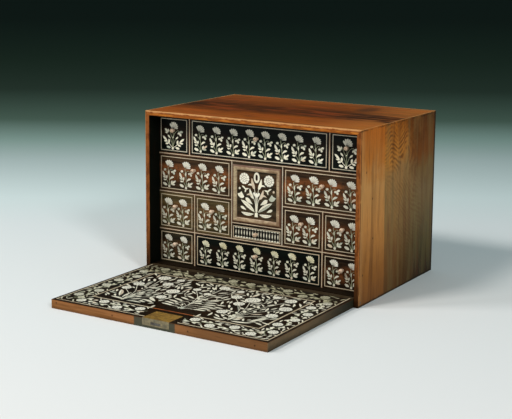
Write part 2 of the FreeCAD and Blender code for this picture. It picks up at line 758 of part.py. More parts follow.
def baluster_row(seat, foot):
    """Split balusters side by side, flat behind and turned in front, their foot at this height"""
    shaft_start = "(baluster_cap_height + baluster_cove_height)"
    middle = "(balustrade_height / 2)"
    corners = [
        ("0", "0"),
        ("baluster_end_radius", "0"),
        ("baluster_end_radius", "baluster_cap_height"),
        ("baluster_neck_radius", shaft_start),
        ("baluster_belly_radius", middle),
        ("baluster_neck_radius", f"balustrade_height - {shaft_start}"),
        ("baluster_end_radius", "balustrade_height - baluster_cap_height"),
        ("baluster_end_radius", "balustrade_height"),
        ("0", "balustrade_height"),
    ]
    cove = round_between("baluster_end_radius - baluster_neck_radius", "baluster_cove_height")
    belly = round_between(
        "baluster_belly_radius - baluster_neck_radius", f"{middle} - {shaft_start}"
    )
    rounds = {2: (cove, -1), 3: (belly, 1), 4: (belly, 1), 5: (cove, -1)}
    body, turning = turned("baluster_row", "XZ_Plane", corners, rounds, 180)
    turning.Reversed = True
    body.AllowCompound = True
    row = body.newObject("PartDesign::LinearPattern", "baluster_pattern")
    row.Originals = [turning]
    row.Direction = (turning.Profile[0], ["H_Axis"])
    row.setExpression("Length", sized(f"(baluster_count - 1) * {BALUSTER_PITCH}"))
    row.setExpression("Occurrences", sized("baluster_count"))
    body.Tip = row
    place(body, f"{BALUSTER_PITCH} / 2 - {BALUSTRADE_HALF_WIDTH}", seat, foot)
    return sub_part("baluster_row", body)


def baluster_drawer():
    """The shallow drawer whose front holds a balustrade, its knob standing between two balusters"""
    bay = Bay("baluster_drawer", (f"-{CENTRE_WALL[0]}", CENTRE_WALL[0]), (LOW_SHELF[1], RAIL[0]))
    seat = f"({bay.front} + balustrade_recess)"
    foot = f"({bay.low} + balustrade_base)"
    half_gap = "baluster_seat_gap / 2"
    recess = block(
        "balustrade_ground",
        (f"-{BALUSTRADE_HALF_WIDTH} - {half_gap}", f"{bay.front} - cut_overrun", f"{foot} - {half_gap}"),
        (f"{BALUSTRADE_HALF_WIDTH} + {half_gap}", seat, f"{foot} + balustrade_height + {half_gap}"),
    )
    height = f"({foot} + balustrade_height / 2)"
    rose_seat = f"({seat} - baluster_belly_radius - baluster_seat_gap)"
    shank_length = f"(knob_shank_length + {bay.front} - {rose_seat})"
    bore = bay.knob_bore(height, rose_seat, "baluster_knob_shank_radius", shank_length)
    bay.front_board([recess, bore])
    bay.box()
    baluster_row(seat, foot)
    knob("baluster_drawer_knob", "0", height, rose_seat, "baluster_knob_shank_radius", shank_length)


def mitred_rail(name, length, x, z, angle):
    """One length of cushion moulding, mitred at both ends, its outer edge on its own X axis"""
    blank = padded(
        name + "_blank",
        "XZ_Plane",
        [
            ("0", "0"),
            (length, "0"),
            (f"{length} - moulding_width", "moulding_width"),
            ("moulding_width", "moulding_width"),
        ],
        "moulding_edge + moulding_rise",
    )
    section = padded(
        name + "_section",
        "YZ_Plane",
        [
            ("0", "0"),
            ("0", "moulding_width"),
            ("-moulding_edge", "moulding_width"),
            ("-moulding_edge", "0"),
        ],
        length,
        {2: (segment_radius("moulding_width", "moulding_rise"), 1)},
    )
    rail = doc.addObject("Part::Common", name)
    rail.Base = blank
    rail.Tool = section
    turn = FreeCAD.Rotation(FreeCAD.Vector(0, 1, 0), angle)
    return place(rail, x, NEST_FRONT, z, turn)


def drawer_moulding(bay):
    """Four mitred lengths round the deep drawer's panel"""
    width = f"({bay.right} - {bay.left})"
    sub_part("deep_drawer_moulding", group("deep_drawer_moulding", [
        mitred_rail("moulding_bottom", width, bay.left, bay.low, 0),
        mitred_rail("moulding_right", MOULDING_HEIGHT, bay.right, bay.low, -90),
        mitred_rail("moulding_top", width, bay.right, MOULDING_TOP, 180),
        mitred_rail("moulding_left", MOULDING_HEIGHT, bay.left, MOULDING_TOP, 90),
    ]))


def drawer_keyhole(name, start, depth):
    """The deep drawer's keyhole as a cutting shape"""
    half = "keyhole_length / 2"
    slot = block(
        name + "_slot",
        ("-keyhole_width / 2", start, f"{ESCUTCHEON_HEIGHT} - {half}"),
        ("keyhole_width / 2", f"{start} + {depth}", f"{ESCUTCHEON_HEIGHT} + {half} - keyhole_eye_radius"),
    )
    eye_height = f"{ESCUTCHEON_HEIGHT} + {half} - keyhole_eye_radius"
    eye = rod(name + "_eye", "keyhole_eye_radius", depth, ("0", start, eye_height), ALONG_BACK)
    return joined(name, [slot, eye])


def escutcheon():
    """An oval plate, whose long opening leaves the wood round the deep drawer's keyhole bare"""
    oval = doc.addObject("Part::Ellipse", "escutcheon_oval")
    oval.setExpression("MajorRadius", sized("escutcheon_height / 2"))
    oval.setExpression("MinorRadius", sized("escutcheon_width / 2"))
    long_way = FreeCAD.Vector(0, 0, 1)
    short_way = FreeCAD.Vector(1, 0, 0)
    inward = FreeCAD.Vector(0, 1, 0)
    upright_oval = FreeCAD.Rotation(long_way, short_way, inward, "ZXY")
    place(oval, "0", NEST_FRONT, ESCUTCHEON_HEIGHT, upright_oval)
    plate = doc.addObject("Part::Extrusion", "escutcheon_blank")
    plate.Base = oval
    plate.DirMode = "Custom"
    plate.Dir = FreeCAD.Vector(0, -1, 0)
    plate.Solid = True
    plate.setExpression("LengthFwd", sized("escutcheon_thickness"))
    start = f"{NEST_FRONT} - escutcheon_thickness - cut_overrun"
    depth = "escutcheon_thickness + 2 * cut_overrun"
    reach = "(escutcheon_slot_length / 2 - escutcheon_slot_radius)"
    low_end = f"{ESCUTCHEON_HEIGHT} - {reach}"
    high_end = f"{ESCUTCHEON_HEIGHT} + {reach}"
    slot = block(
        "escutcheon_slot",
        ("-escutcheon_slot_radius", start, low_end),
        ("escutcheon_slot_radius", f"{start} + {depth}", high_end),
    )
    low_round = rod(
        "escutcheon_low_round", "escutcheon_slot_radius", depth, ("0", start, low_end), ALONG_BACK
    )
    high_round = rod(
        "escutcheon_high_round", "escutcheon_slot_radius", depth, ("0", start, high_end), ALONG_BACK
    )
    hole = joined("escutcheon_hole", [slot, low_round, high_round])
    return sub_part("deep_drawer_escutcheon", cut("deep_drawer_escutcheon", plate, [hole]))


def drawer_lock():
    """Case with its key post on the back of the deep drawer's front, and the bolt that rises from it"""
    half = "drawer_lock_width / 2"
    low = f"{DEEP_FRONT_TOP} - drawer_lock_height"
    shell = block(
        "drawer_case_shell",
        (f"-{half}", DRAWER_LOCK_FACE, low),
        (half, DRAWER_LOCK_BACK, DEEP_FRONT_TOP),
    )
    room = block(
        "drawer_case_room",
        (
            f"-{half} + drawer_lock_wall",
            f"{DRAWER_LOCK_FACE} - cut_overrun",
            f"{low} + drawer_lock_wall",
        ),
        (
            f"{half} - drawer_lock_wall",
            f"{DRAWER_LOCK_BACK} - drawer_lock_wall",
            f"{DEEP_FRONT_TOP} - drawer_lock_wall",
        ),
    )
    bolt_low = ("-drawer_bolt_width / 2", DRAWER_BOLT_FRONT, f"{DEEP_FRONT_TOP} - drawer_bolt_length")
    bolt_high = ("drawer_bolt_width / 2", DRAWER_BOLT_BACK, DEEP_FRONT_TOP)
    room_for_bolt = grown(bolt_low, bolt_high, ("bolt_fit", "bolt_fit", "cut_overrun"))
    window = block("drawer_case_window", *room_for_bolt)
    hollow = cut("drawer_case_hollow", shell, [room, window])
    post = rod(
        "drawer_key_post",
        "drawer_post_radius",
        "drawer_lock_depth",
        ("0", DRAWER_LOCK_FACE, f"{ESCUTCHEON_HEIGHT} + keyhole_length / 2 - keyhole_eye_radius"),
        ALONG_BACK,
    )
    sub_part("drawer_lock_case", joined("drawer_lock_case", [hollow, post]))
    sub_part("drawer_lock_bolt", block("drawer_lock_bolt", bolt_low, bolt_high))


def deep_drawer():
    """The tall locking drawer in the middle of the nest"""
    bay = Bay("deep_drawer", (f"-{CENTRE_WALL[0]}", CENTRE_WALL[0]), (RAIL[1], HIGH_SHELF[0]))
    keyhole = drawer_keyhole(
        "front_keyhole", f"{NEST_FRONT} - cut_overrun", "front_thickness + 2 * cut_overrun"
    )
    bay.front_board([keyhole])
    bay.box()
    drawer_moulding(bay)
    escutcheon()
    drawer_lock()


carcase()
nest()
pivot_pins()
flap_board()
flap_lock()
plain_drawers()
baluster_drawer()
deep_drawer()
doc.recompute()

for item in doc.Objects:
    if "Invalid" in item.State or "Error" in item.State:
        raise RuntimeError(f"{item.Label} could not be built: {item.State}")
os.makedirs("parts", exist_ok=True)
for item in SUB_PARTS:
    shape = item.Shape
    if shape.isNull() or not shape.isValid() or not shape.Solids:
        raise RuntimeError(f"{item.Label} is not a valid solid")
    shape.exportStep(f"parts/{item.Label}.step")
print(len(SUB_PARTS), "sub-parts with", sum(len(item.Shape.Solids) for item in SUB_PARTS), "solids")
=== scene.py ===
"""Looks of an inlaid table cabinet: a fall front, fourteen drawers, and bone let into dark veneer"""
import math
import random

import bpy
from mathutils import Matrix, Vector


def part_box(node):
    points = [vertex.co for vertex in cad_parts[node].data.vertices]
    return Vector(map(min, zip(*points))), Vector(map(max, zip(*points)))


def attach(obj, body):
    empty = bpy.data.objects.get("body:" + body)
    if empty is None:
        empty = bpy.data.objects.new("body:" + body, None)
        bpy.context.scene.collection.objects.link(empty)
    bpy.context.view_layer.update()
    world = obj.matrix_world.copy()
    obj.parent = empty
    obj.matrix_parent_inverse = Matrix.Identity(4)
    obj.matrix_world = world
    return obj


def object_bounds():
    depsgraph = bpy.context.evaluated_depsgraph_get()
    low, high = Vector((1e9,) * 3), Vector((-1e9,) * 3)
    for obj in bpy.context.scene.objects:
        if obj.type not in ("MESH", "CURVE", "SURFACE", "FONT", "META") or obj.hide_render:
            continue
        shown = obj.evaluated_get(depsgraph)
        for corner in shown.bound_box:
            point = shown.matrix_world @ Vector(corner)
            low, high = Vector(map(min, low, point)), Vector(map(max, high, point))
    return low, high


bl_info = {
    "name": "Inlaid Table Cabinet",
    "version": (1, 0, 0),
    "blender": (4, 5, 0),
    "location": "3D View > Sidebar > Cabinet",
    "description": "Finishes a fall-front cabinet: figured carcase, dark veneer, bone inlay and locks",
    "category": "Object",
}

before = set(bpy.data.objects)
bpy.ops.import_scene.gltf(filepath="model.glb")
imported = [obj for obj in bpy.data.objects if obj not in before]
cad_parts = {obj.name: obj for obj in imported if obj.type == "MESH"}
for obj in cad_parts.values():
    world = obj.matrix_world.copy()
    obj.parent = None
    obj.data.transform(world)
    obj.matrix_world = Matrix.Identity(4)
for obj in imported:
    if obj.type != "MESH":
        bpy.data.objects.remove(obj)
CAD_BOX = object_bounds()
MM = 0.001


def halfway(low, high):
    """The middle of two numbers or points"""
    return (low + high) / 2


# Faces that the inlay lies in, in millimetres, read from the CAD model
FRONT_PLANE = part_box("top_middle_drawer_front")[0].y / MM
FLAP_LOW, FLAP_HIGH = (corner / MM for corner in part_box("flap"))
# The case's corners and front edge, and the glued joint of each side's two boards, in metres
CASE_HIGH = CAD_BOX[1]
FRONT_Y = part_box("side_left")[0].y
CASE_LOW = Vector((CAD_BOX[0].x, FRONT_Y, 0))
SEAM_Y = FRONT_Y + 0.1225
# Depths under the case's outside at which the blackening of its inside starts, and at which it is full
EDGE_DEPTH, INSIDE_DEPTH = 0.0098, 0.0104
# Height of a row of drawers, and the middle of one row
ROW_PITCH, ROW_MIDDLE = 0.08725, 0.2285
DRAWERS = sorted(name.removesuffix("_front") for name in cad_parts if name.endswith("_drawer_front"))
PLAIN_DRAWERS = [name for name in DRAWERS if name not in ("baluster_drawer", "deep_drawer")]


def drawer_box(name):
    """Left, bottom, right and top of a drawer's front, in millimetres"""
    low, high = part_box(name + "_front")
    return low.x / MM, low.z / MM, high.x / MM, high.z / MM


# ---------------------------------------------------------------- sizes and colours a user would change

def length(name, description, default):
    """A size property in metres, from a default in millimetres"""
    return bpy.props.FloatProperty(
        name=name, description=description, default=default * MM, min=0, unit="LENGTH", precision=5
    )


def share(name, description, default):
    """A property between nought and one"""
    return bpy.props.FloatProperty(
        name=name, description=description, default=default, min=0, max=1, subtype="FACTOR"
    )


def linear(code):
    """A linear colour from a six-figure screen colour"""
    parts = [int(code[place:place + 2], 16) / 255 for place in (0, 2, 4)]
    return tuple(part / 12.92 if part <= 0.04045 else ((part + 0.055) / 1.055) ** 2.4 for part in parts)


def rgba(tint):
    """A solid colour, from a screen colour's code or from three linear parts"""
    return (*(linear(tint) if isinstance(tint, str) else tint), 1)


def colour(name, description, code):
    """A colour property"""
    return bpy.props.FloatVectorProperty(
        name=name, description=description, default=linear(code), min=0, max=1, size=3, subtype="COLOR"
    )


class CabinetSizes(bpy.types.PropertyGroup):
    """Sizes of the inlay and its lines"""

    proud: length("Inlay height", "How far the bone stands above the veneer", 0.18)
    sunk: length("Inlay depth", "How far the bone goes into the wood", 0.12)
    string_width: length("Stringing width", "Width of the line round each drawer front", 1.7)
    string_inset: length("Stringing inset", "From the front's edge to its line", 4.6)
    rail_line: length("Rail line width", "Width of the line along each shelf and partition", 1.9)
    flap_line: length("Flap line width", "Width of the line round the flap", 2.6)
    inner_line: length("Inner flap line width", "Width of the line inside the flap's border", 3.4)
    border: length("Flap border", "From the flap's edge to the middle of the inner line", 57.7)


class CabinetColours(bpy.types.PropertyGroup):
    """Colours of the woods, the bone and the metal"""

    case_dark: colour("Dark carcase wood", "Heartwood streaks of the carcase", "4A2A14")
    black: colour("Black veneer", "Ground of the blackest drawer fronts", "040805")
    brown: colour("Brown veneer", "Ground of the browner drawer fronts", "2C1E11")
    rust: colour("Rust veneer", "Patches where the veneer has faded", "A05A2C")
    bone: colour("Bone", "Leaves, stems and buds", "ECE4CC")
    green_bone: colour("Blossom bone", "Blossoms", "F0E9D6")
    string: colour("Stringing", "Lines round the drawers", "CAB698")
    gloss: share("Polish", "Weight of the polish over the veneer", 0.015)


# ---------------------------------------------------------------- shader nodes

class Wiring:
    """Makes and joins the shader nodes of one tree"""

    def __init__(self, tree):
        self.tree = tree

    def feed(self, socket, value):
        """Links a socket, or sets it where the value is a plain one"""
        if isinstance(value, bpy.types.NodeSocket):
            self.tree.links.new(value, socket)
        elif socket.type == "RGBA":
            socket.default_value = rgba(value)
        else:
            socket.default_value = value

    def by_name(self, made, values):
        """Feeds a node's inputs by name, with an underscore for each space"""
        for key, value in values.items():
            self.feed(made.inputs[key.replace("_", " ")], value)
        return made

    def node(self, kind, settings=None, **inputs):
        """A node with its settings, and its inputs by name"""
        made = self.tree.nodes.new(kind)
        for key, value in (settings or {}).items():
            setattr(made, key, value)
        return self.by_name(made, inputs)

    def noise(self, vector, scale, detail=3.0, roughness=0.5, distortion=0.0):
        return self.node(
            "ShaderNodeTexNoise", Vector=vector, Scale=scale, Detail=detail,
            Roughness=roughness, Distortion=distortion,
        ).outputs["Fac"]

    def in_order(self, made, values):
        """Feeds a node's inputs in their order"""
        for socket, value in zip(made.inputs, values):
            self.feed(socket, value)
        return made.outputs

    def maths(self, operation, *values):
        return self.in_order(self.node("ShaderNodeMath", {"operation": operation}), values)[0]

    def times(self, first, second):
        return self.maths("MULTIPLY", first, second)

    def muladd(self, value, factor, start):
        """A value times a factor, on top of a start"""
        return self.maths("MULTIPLY_ADD", value, factor, start)

    def plus(self, first, second):
        return self.maths("ADD", first, second)

    def minus(self, first, second):
        return self.maths("SUBTRACT", first, second)

    def larger(self, first, second):
        return self.maths("MAXIMUM", first, second)

    def vectors(self, operation, *values):
        outputs = self.in_order(self.node("ShaderNodeVectorMath", {"operation": operation}), values)
        return outputs["Value" if operation in ("DISTANCE", "DOT_PRODUCT") else "Vector"]

    def stretch(self, vector, factors):
        return self.vectors("MULTIPLY", vector, factors)

    def step(self, value, low, high):
        """Goes smoothly from 0 at low to 1 at high. Where the higher number comes first, it falls instead."""
        falls = isinstance(low, bpy.types.NodeSocket) or low > high
        ends = (high, low, 1, 0) if falls else (low, high, 0, 1)
        made = self.node("ShaderNodeMapRange", {"interpolation_type": "SMOOTHSTEP"})
        return self.in_order(made, (value, *ends))["Result"]

    def ramp(self, factor, stops):
        """A colour ramp with its stops as (place, colour)"""
        made = self.node("ShaderNodeValToRGB", Fac=factor)
        row = made.color_ramp.elements
        while len(row) < len(stops):
            row.new(0.5)
        for element, (place, tint) in zip(row, stops):
            element.position = place
            element.color = rgba(tint)
        return made.outputs["Color"]

    def mix(self, factor, first, second, share=None):
        """From the first colour to the second by a factor, or by a share of it"""
        if share is not None:
            factor = self.times(factor, share)
        made = self.node("ShaderNodeMix", {"data_type": "RGBA"})
        for name, value in (("Factor_Float", factor), ("A_Color", first), ("B_Color", second)):
            self.feed(next(item for item in made.inputs if item.identifier == name), value)
        return next(item for item in made.outputs if item.identifier == "Result_Color")

    def parts(self, vector):
        """The x, y and z of a vector"""
        made = self.node("ShaderNodeSeparateXYZ", Vector=vector)
        return made.outputs["X"], made.outputs["Y"], made.outputs["Z"]

    def joined(self, x, y, z):
        return self.node("ShaderNodeCombineXYZ", X=x, Y=y, Z=z).outputs["Vector"]

    def place(self):
        """Where a point is on its own piece, which at rest is where it is in the cabinet"""
        return self.tree.nodes.new("ShaderNodeTexCoord").outputs["Object"]

    def faces(self):
        """Which way a face looks on its own piece"""
        return self.tree.nodes.new("ShaderNodeTexCoord").outputs["Normal"]

    def group(self, name, **inputs):
        """A shared effect, placed with its own values"""
        made = self.tree.nodes.new("ShaderNodeGroup")
        made.node_tree = bpy.data.node_groups[name]
        return self.by_name(made, inputs).outputs

    def grain(self, vector, streaks, wander):
        """The shared long grain, as its Grain and its Pores"""
        return self.group("Long grain", Vector=vector, Streaks=streaks, Wander=wander)

    def patches(self, vector, scale):
        """The shared soft patches"""
        return self.group("Blotches", Vector=vector, Scale=scale)["Patches"]


def make_effect(name, build, inputs, masks):
    """A node group that puts out masks. An input whose default is no number is a vector."""
    tree = bpy.data.node_groups.new(name, "ShaderNodeTree")
    for label, default in inputs.items():
        kind = "NodeSocketFloat" if isinstance(default, float) else "NodeSocketVector"
        socket = tree.interface.new_socket(name=label, in_out="INPUT", socket_type=kind)
        if default is not None:
            socket.default_value = default
    for label in masks:
        tree.interface.new_socket(name=label, in_out="OUTPUT", socket_type="NodeSocketFloat")
    source = tree.nodes.new("NodeGroupInput").outputs
    target = tree.nodes.new("NodeGroupOutput").inputs
    wiring = Wiring(tree)
    for label, value in build(wiring, source).items():
        wiring.feed(target[label], value)


def long_grain(w, given):
    """Fibres along the first axis, which wander, with short open pores"""
    swing = w.noise(w.stretch(given["Vector"], (1.2, 4, 4)), 2.2, 3)
    swing = w.times(w.minus(swing, 0.5), given["Wander"])
    moved = w.vectors("ADD", given["Vector"], w.joined(0.0, swing, swing))
    stretched = w.stretch(moved, (0.045, 1, 1))
    grain = w.noise(stretched, given["Streaks"], 6, 0.62, 0.3)
    fine = w.noise(w.stretch(moved, (0.03, 1, 1)), w.times(given["Streaks"], 7.0), 2, 0.6)
    return {"Grain": grain, "Pores": w.step(fine, 0.57, 0.72)}


def feather(w, given):
    """Waved lines where a board was cut through the fork of a branch, falling to the back lower down"""
    _, y, z = w.parts(given["Vector"])
    off = w.minus(y, given["Middle"])
    sway = w.minus(w.noise(w.stretch(given["Vector"], (1, 1, 0.7)), 8.0, 3, 0.45), 0.5)
    crest = w.times(w.maths("COSINE", w.times(off, math.tau / 0.078)), -0.0075)
    upper = w.step(z, 0.235, 0.315)
    climb = w.mix(upper, w.joined(w.times(off, 0.7), 0.0, 0.0), w.joined(crest, 0.0, 0.0))
    climb = w.muladd(sway, 0.06, w.parts(climb)[0])
    ruffle = w.minus(w.noise(w.stretch(given["Vector"], (1, 1, 0.5)), 36.0, 3, 0.6), 0.5)
    climb = w.muladd(ruffle, 0.016, climb)
    wave = w.maths("SINE", w.times(w.plus(z, climb), given["Bands"]))
    # The figure moves back towards the foot of the board
    centre = w.muladd(z, -0.32, 0.14)
    near_axis = w.step(w.maths("ABSOLUTE", w.minus(off, centre)), given["Reach"], 0.03)
    broken = w.step(w.noise(given["Vector"], 34.0, 5, 0.7), 0.36, 0.6)
    lines = w.step(wave, -1.0, 1.0)
    return {"Figure": w.times(w.times(lines, near_axis), broken)}


def blotches(w, given):
    """Soft uneven patches, from stain, handling and age"""
    big = w.noise(given["Vector"], given["Scale"], 2, 0.55, 0.4)
    small = w.noise(given["Vector"], w.times(given["Scale"], 5.3), 4, 0.6)
    return {"Patches": w.step(w.muladd(small, 0.35, w.times(big, 0.65)), 0.36, 0.64)}


def arris_wear(w, given):
    """Rubbed edges of a box-shaped piece, broken up so that no edge is worn evenly"""
    shift = w.vectors("ABSOLUTE", w.vectors("SUBTRACT", given["Vector"], given["Middle"]))
    x, y, z = w.parts(w.vectors("SUBTRACT", given["Half size"], shift))
    low = w.maths("MINIMUM", w.maths("MINIMUM", x, y), z)
    high = w.larger(w.larger(x, y), z)
    second = w.minus(w.minus(w.plus(w.plus(x, y), z), low), high)
    broken = w.muladd(w.noise(given["Vector"], 60.0, 4, 0.7), 1.6, -0.3)
    distance = w.maths("DIVIDE", second, w.times(given["Reach"], broken))
    return {"Wear": w.step(distance, 1.0, 0.15)}


def bone_grain(w, given):
    """Fine lengthwise lines, clouding and the dirt in them"""
    lines = w.noise(w.stretch(given["Vector"], (1, 1, 0.16)), 900.0, 3, 0.7)
    cloud = w.noise(given["Vector"], given["Scale"], 4, 0.6, 0.5)
    dirt = w.step(w.noise(given["Vector"], 420.0, 5, 0.75), 0.62, 0.8)
    return {"Cloud": w.step(cloud, 0.3, 0.7), "Lines": lines, "Dirt": dirt}


# The effects that several materials share, as (name, build, inputs with their defaults, masks)
EFFECTS = (
    ("Long grain", long_grain, {"Vector": None, "Streaks": 60.0, "Wander": 0.02}, ("Grain", "Pores")),
    ("Feather figure", feather, {"Vector": None, "Bands": 300.0, "Middle": 0.0, "Reach": 0.06}, ("Figure",)),
    ("Blotches", blotches, {"Vector": None, "Scale": 8.0}, ("Patches",)),
    ("Arris wear", arris_wear,
     {"Vector": None, "Middle": (0, 0, 0), "Half size": (1, 1, 1), "Reach": 0.004}, ("Wear",)),
    ("Bone grain", bone_grain, {"Vector": None, "Scale": 30.0}, ("Cloud", "Lines", "Dirt")),
)


MATERIALS = {}
BUMP_DEPTH = 0.0004


def material(name, build, **fixed):
    """A material with one Principled shader. build gives its varying inputs, fixed its even ones."""
    made = bpy.data.materials.new(name)
    made.use_nodes = True
    shader = made.node_tree.nodes["Principled BSDF"]
    wiring = Wiring(made.node_tree)
    wiring.by_name(shader, fixed)
    varying = build(wiring)
    if "Height" in varying:
        height, strength = varying.pop("Height"), varying.pop("Strength")
        bump = wiring.node("ShaderNodeBump", Height=height, Strength=strength, Distance=BUMP_DEPTH)
        varying["Normal"] = bump.outputs["Normal"]
    wiring.by_name(shader, varying)
    MATERIALS[name] = made


def finish(w, tint, uneven, spread, least, height, strength):
    """A colour, a roughness that grows from the least with an uneven mask, and a bump"""
    return {
        "Base_Color": tint, "Roughness": w.muladd(uneven, spread, least),
        "Height": height, "Strength": strength,
    }


def scaled(tint, factor):
    """A lighter or darker colour"""
    return tuple(min(part * factor, 1) for part in rgba(tint)[:3])


def box_wear(w, place, low, high, reach):
    """Wear on the arrises of the box between two corners"""
    middle = (low + high) / 2
    return w.group("Arris wear", Vector=place, Middle=middle, Half_size=(high - low) / 2, Reach=reach)["Wear"]


def carcase_materials(c):
    """Figured wood of the top and sides, and the plain boards behind and below"""

    def dark_inside(w, tint, place):
        """Blackened where a board faces into the cabinet"""
        x, _, z = w.parts(w.vectors("ABSOLUTE", place))
        past_side = w.step(x, CASE_HIGH.x - EDGE_DEPTH, CASE_HIGH.x - INSIDE_DEPTH)
        under_top = w.step(z, CASE_HIGH.z - EDGE_DEPTH, CASE_HIGH.z - INSIDE_DEPTH)
        return w.mix(w.times(past_side, under_top), tint, "060A06")

    def top(w):
        place = w.place()
        x, y, z = w.parts(place)
        grain = w.grain(place, 75.0, 0.05)
        wander = w.minus(w.noise(w.stretch(place, (1, 2, 1)), 5.0, 4, 0.6), 0.5)
        warped = w.muladd(wander, 0.11, w.muladd(grain["Grain"], 0.04, y))
        tint = w.ramp(w.muladd(warped, 2.6, 0.462), [
            (0.0, "9C5418"), (0.25, "92480E"), (0.31, "703608"), (0.38, "2C1503"),
            (0.55, "281302"), (0.64, "5C2C08"), (0.8, "7C3E10"), (1.0, "8E5020"),
        ])
        tint = w.mix(w.step(grain["Grain"], 0.44, 0.66), tint, c.case_dark, 0.55)
        stain = w.patches(place, 9.0)
        tint = w.mix(stain, tint, "924610", 0.22)
        red = w.noise(w.stretch(place, (0.12, 1, 1)), 55.0, 3, 0.6)
        tint = w.mix(w.step(red, 0.5, 0.66), tint, "A4481A", 0.45)
        fibres = w.noise(w.stretch(place, (0.06, 1, 1)), 190.0, 3, 0.65)
        tint = w.mix(w.step(fibres, 0.5, 0.64), tint, "5A2A0C", 0.3)
        bright = w.times(w.step(w.parts(tint)[0], 0.05, 0.16), w.step(x, 0.1, 0.26))
        tint = w.mix(bright, tint, "B87434", 0.4)
        spot = w.vectors("DISTANCE", w.stretch(place, (1, 0.6, 0)), (0.139, 0.064, 0.0))
        tint = w.mix(w.step(spot, 0.034, 0.01), tint, c.case_dark, 0.7)
        # The front edge has a darker upper strip, a brighter middle and a rough dark lower arris
        edge = w.mix(w.step(z, CASE_HIGH.z - 0.0042, CASE_HIGH.z - 0.0056), "86441A", "B06A28")
        patch = w.step(w.noise(w.stretch(place, (1, 1, 5)), 34.0, 4, 0.6), 0.4, 0.6)
        edge = w.mix(patch, edge, "6E3412", 0.75)
        under = w.step(w.muladd(patch, 0.0016, z), CASE_HIGH.z - 0.0078, CASE_HIGH.z - 0.0096)
        edge = w.mix(under, edge, "4A220C", 0.7)
        tint = w.mix(w.step(y, FRONT_Y + 0.0006, FRONT_Y), tint, edge)
        # Partly rubbed wood, partly a painted highlight: a bright band along the top's rounded front arris
        in_front = w.step(y, FRONT_Y + 0.009, FRONT_Y + 0.003)
        rub_and_highlight = w.times(in_front, w.step(z, CASE_HIGH.z - 0.0012, CASE_HIGH.z))
        rub_and_highlight = w.times(rub_and_highlight, w.step(w.noise(place, 46.0, 4, 0.7), 0.36, 0.6))
        tint = w.mix(rub_and_highlight, tint, "E0A468", 0.75)
        wear = box_wear(w, place, CASE_LOW, CASE_HIGH, 0.0085)
        strength = w.muladd(w.step(x, CASE_HIGH.x - 0.01, CASE_HIGH.x - 0.004), -0.4, 0.85)
        tint = w.mix(wear, tint, "CC9660", strength)
        tint = dark_inside(w, tint, place)
        tint = w.mix(grain["Pores"], tint, "241006", 0.55)
        return finish(w, tint, stain, 0.16, 0.34, w.muladd(grain["Pores"], -0.6, grain["Grain"]), 0.25)

    def side(w):
        place = w.place()
        x, y, z = w.parts(place)
        grain = w.grain(w.joined(z, y, x), 80.0, 0.03)
        # Two boards glued edge to edge: a pale plain one in front, a figured dark one behind
        jog = w.muladd(w.noise(place, 30.0, 3, 0.6), 0.006, w.muladd(z, 0.036, y))
        seam = w.step(jog, SEAM_Y - 0.0012, SEAM_Y + 0.0022)
        figure = w.group(
            "Feather figure", Vector=place, Bands=600.0, Middle=SEAM_Y + 0.02, Reach=0.12
        )["Figure"]
        stain = w.patches(place, 7.0)
        height = w.muladd(w.minus(stain, 0.5), 0.09, w.times(z, 1 / CASE_HIGH.z))
        pale = w.ramp(height, [
            (0.0, "86542A"), (0.2, "98602A"), (0.45, "C48444"), (0.7, "C88E50"),
            (0.82, "C0742E"), (1.0, "BE661E"),
        ])
        pale = w.mix(w.step(y, FRONT_Y + 0.024, FRONT_Y + 0.008), pale, "C69258", 0.35)
        fore = w.ramp(height, [
            (0.0, "66421E"), (0.22, "7A5026"), (0.5, "9A7240"), (0.7, "A87842"),
            (0.8, "C87E2E"), (1.0, "B0621A"),
        ])
        hind = w.ramp(height, [
            (0.0, "241E12"), (0.22, "524628"), (0.5, "7E6440"), (0.7, "7C5C34"),
            (0.8, "7A4418"), (1.0, "5A300C"),
        ])
        dark = w.mix(w.step(w.muladd(stain, 0.05, y), SEAM_Y + 0.06, SEAM_Y + 0.21), fore, hind)
        strong = w.ramp(height, [(0.25, (0.26,) * 3), (0.62, (0.36,) * 3), (0.8, (0.8,) * 3)])
        dark = w.mix(figure, dark, "5A2C0C", w.parts(strong)[0])
        # Upright streaks, some reddish and some olive, run through the back board
        upright = w.stretch(place, (1, 1, 0.08))
        dark = w.mix(w.step(w.noise(upright, 60.0, 4, 0.65), 0.46, 0.62), dark, "5A2E12", 0.34)
        dark = w.mix(w.step(w.noise(upright, 41.0, 3, 0.6), 0.54, 0.4), dark, "8A7A4C", 0.22)
        tint = w.mix(seam, pale, dark)
        streaks = w.times(w.step(grain["Grain"], 0.45, 0.66), w.muladd(seam, -0.28, 0.4))
        tint = w.mix(streaks, tint, "4A260E")
        nails = spots(w, w.joined(0.0, y, z), [
            (0, -0.1585, 0.280), (0, -0.1285, 0.221), (0, -0.1235, 0.136), (0, -0.1675, 0.066),
        ], 0.0024)
        tint = w.mix(nails, tint, "2C180C", 0.62)
        edge = w.mix(grain["Grain"], "9A5A2C", "60320F")
        mottle = w.noise(w.stretch(place, (1, 1, 0.35)), 150.0, 4, 0.65)
        edge = w.mix(w.step(mottle, 0.48, 0.62), edge, "4A2009", 0.6)
        # Partly a worn dark edge, partly painted shade: a dark strip on the side along its rounded front
        # arris
        tint = w.mix(w.step(y, FRONT_Y + 0.0052, FRONT_Y + 0.0018), tint, "5E3414", w.step(mottle, 0.36, 0.5))
        edge = w.mix(w.step(z, 0.13, 0.008), edge, "1C1006", 0.9)
        tint = w.mix(w.step(y, FRONT_Y + 0.0006, FRONT_Y), tint, edge)
        wear = w.times(box_wear(w, place, CASE_LOW, CASE_HIGH, 0.004), w.step(z, 0.004, 0.06))
        tint = w.mix(wear, tint, "B4763E", 0.5)
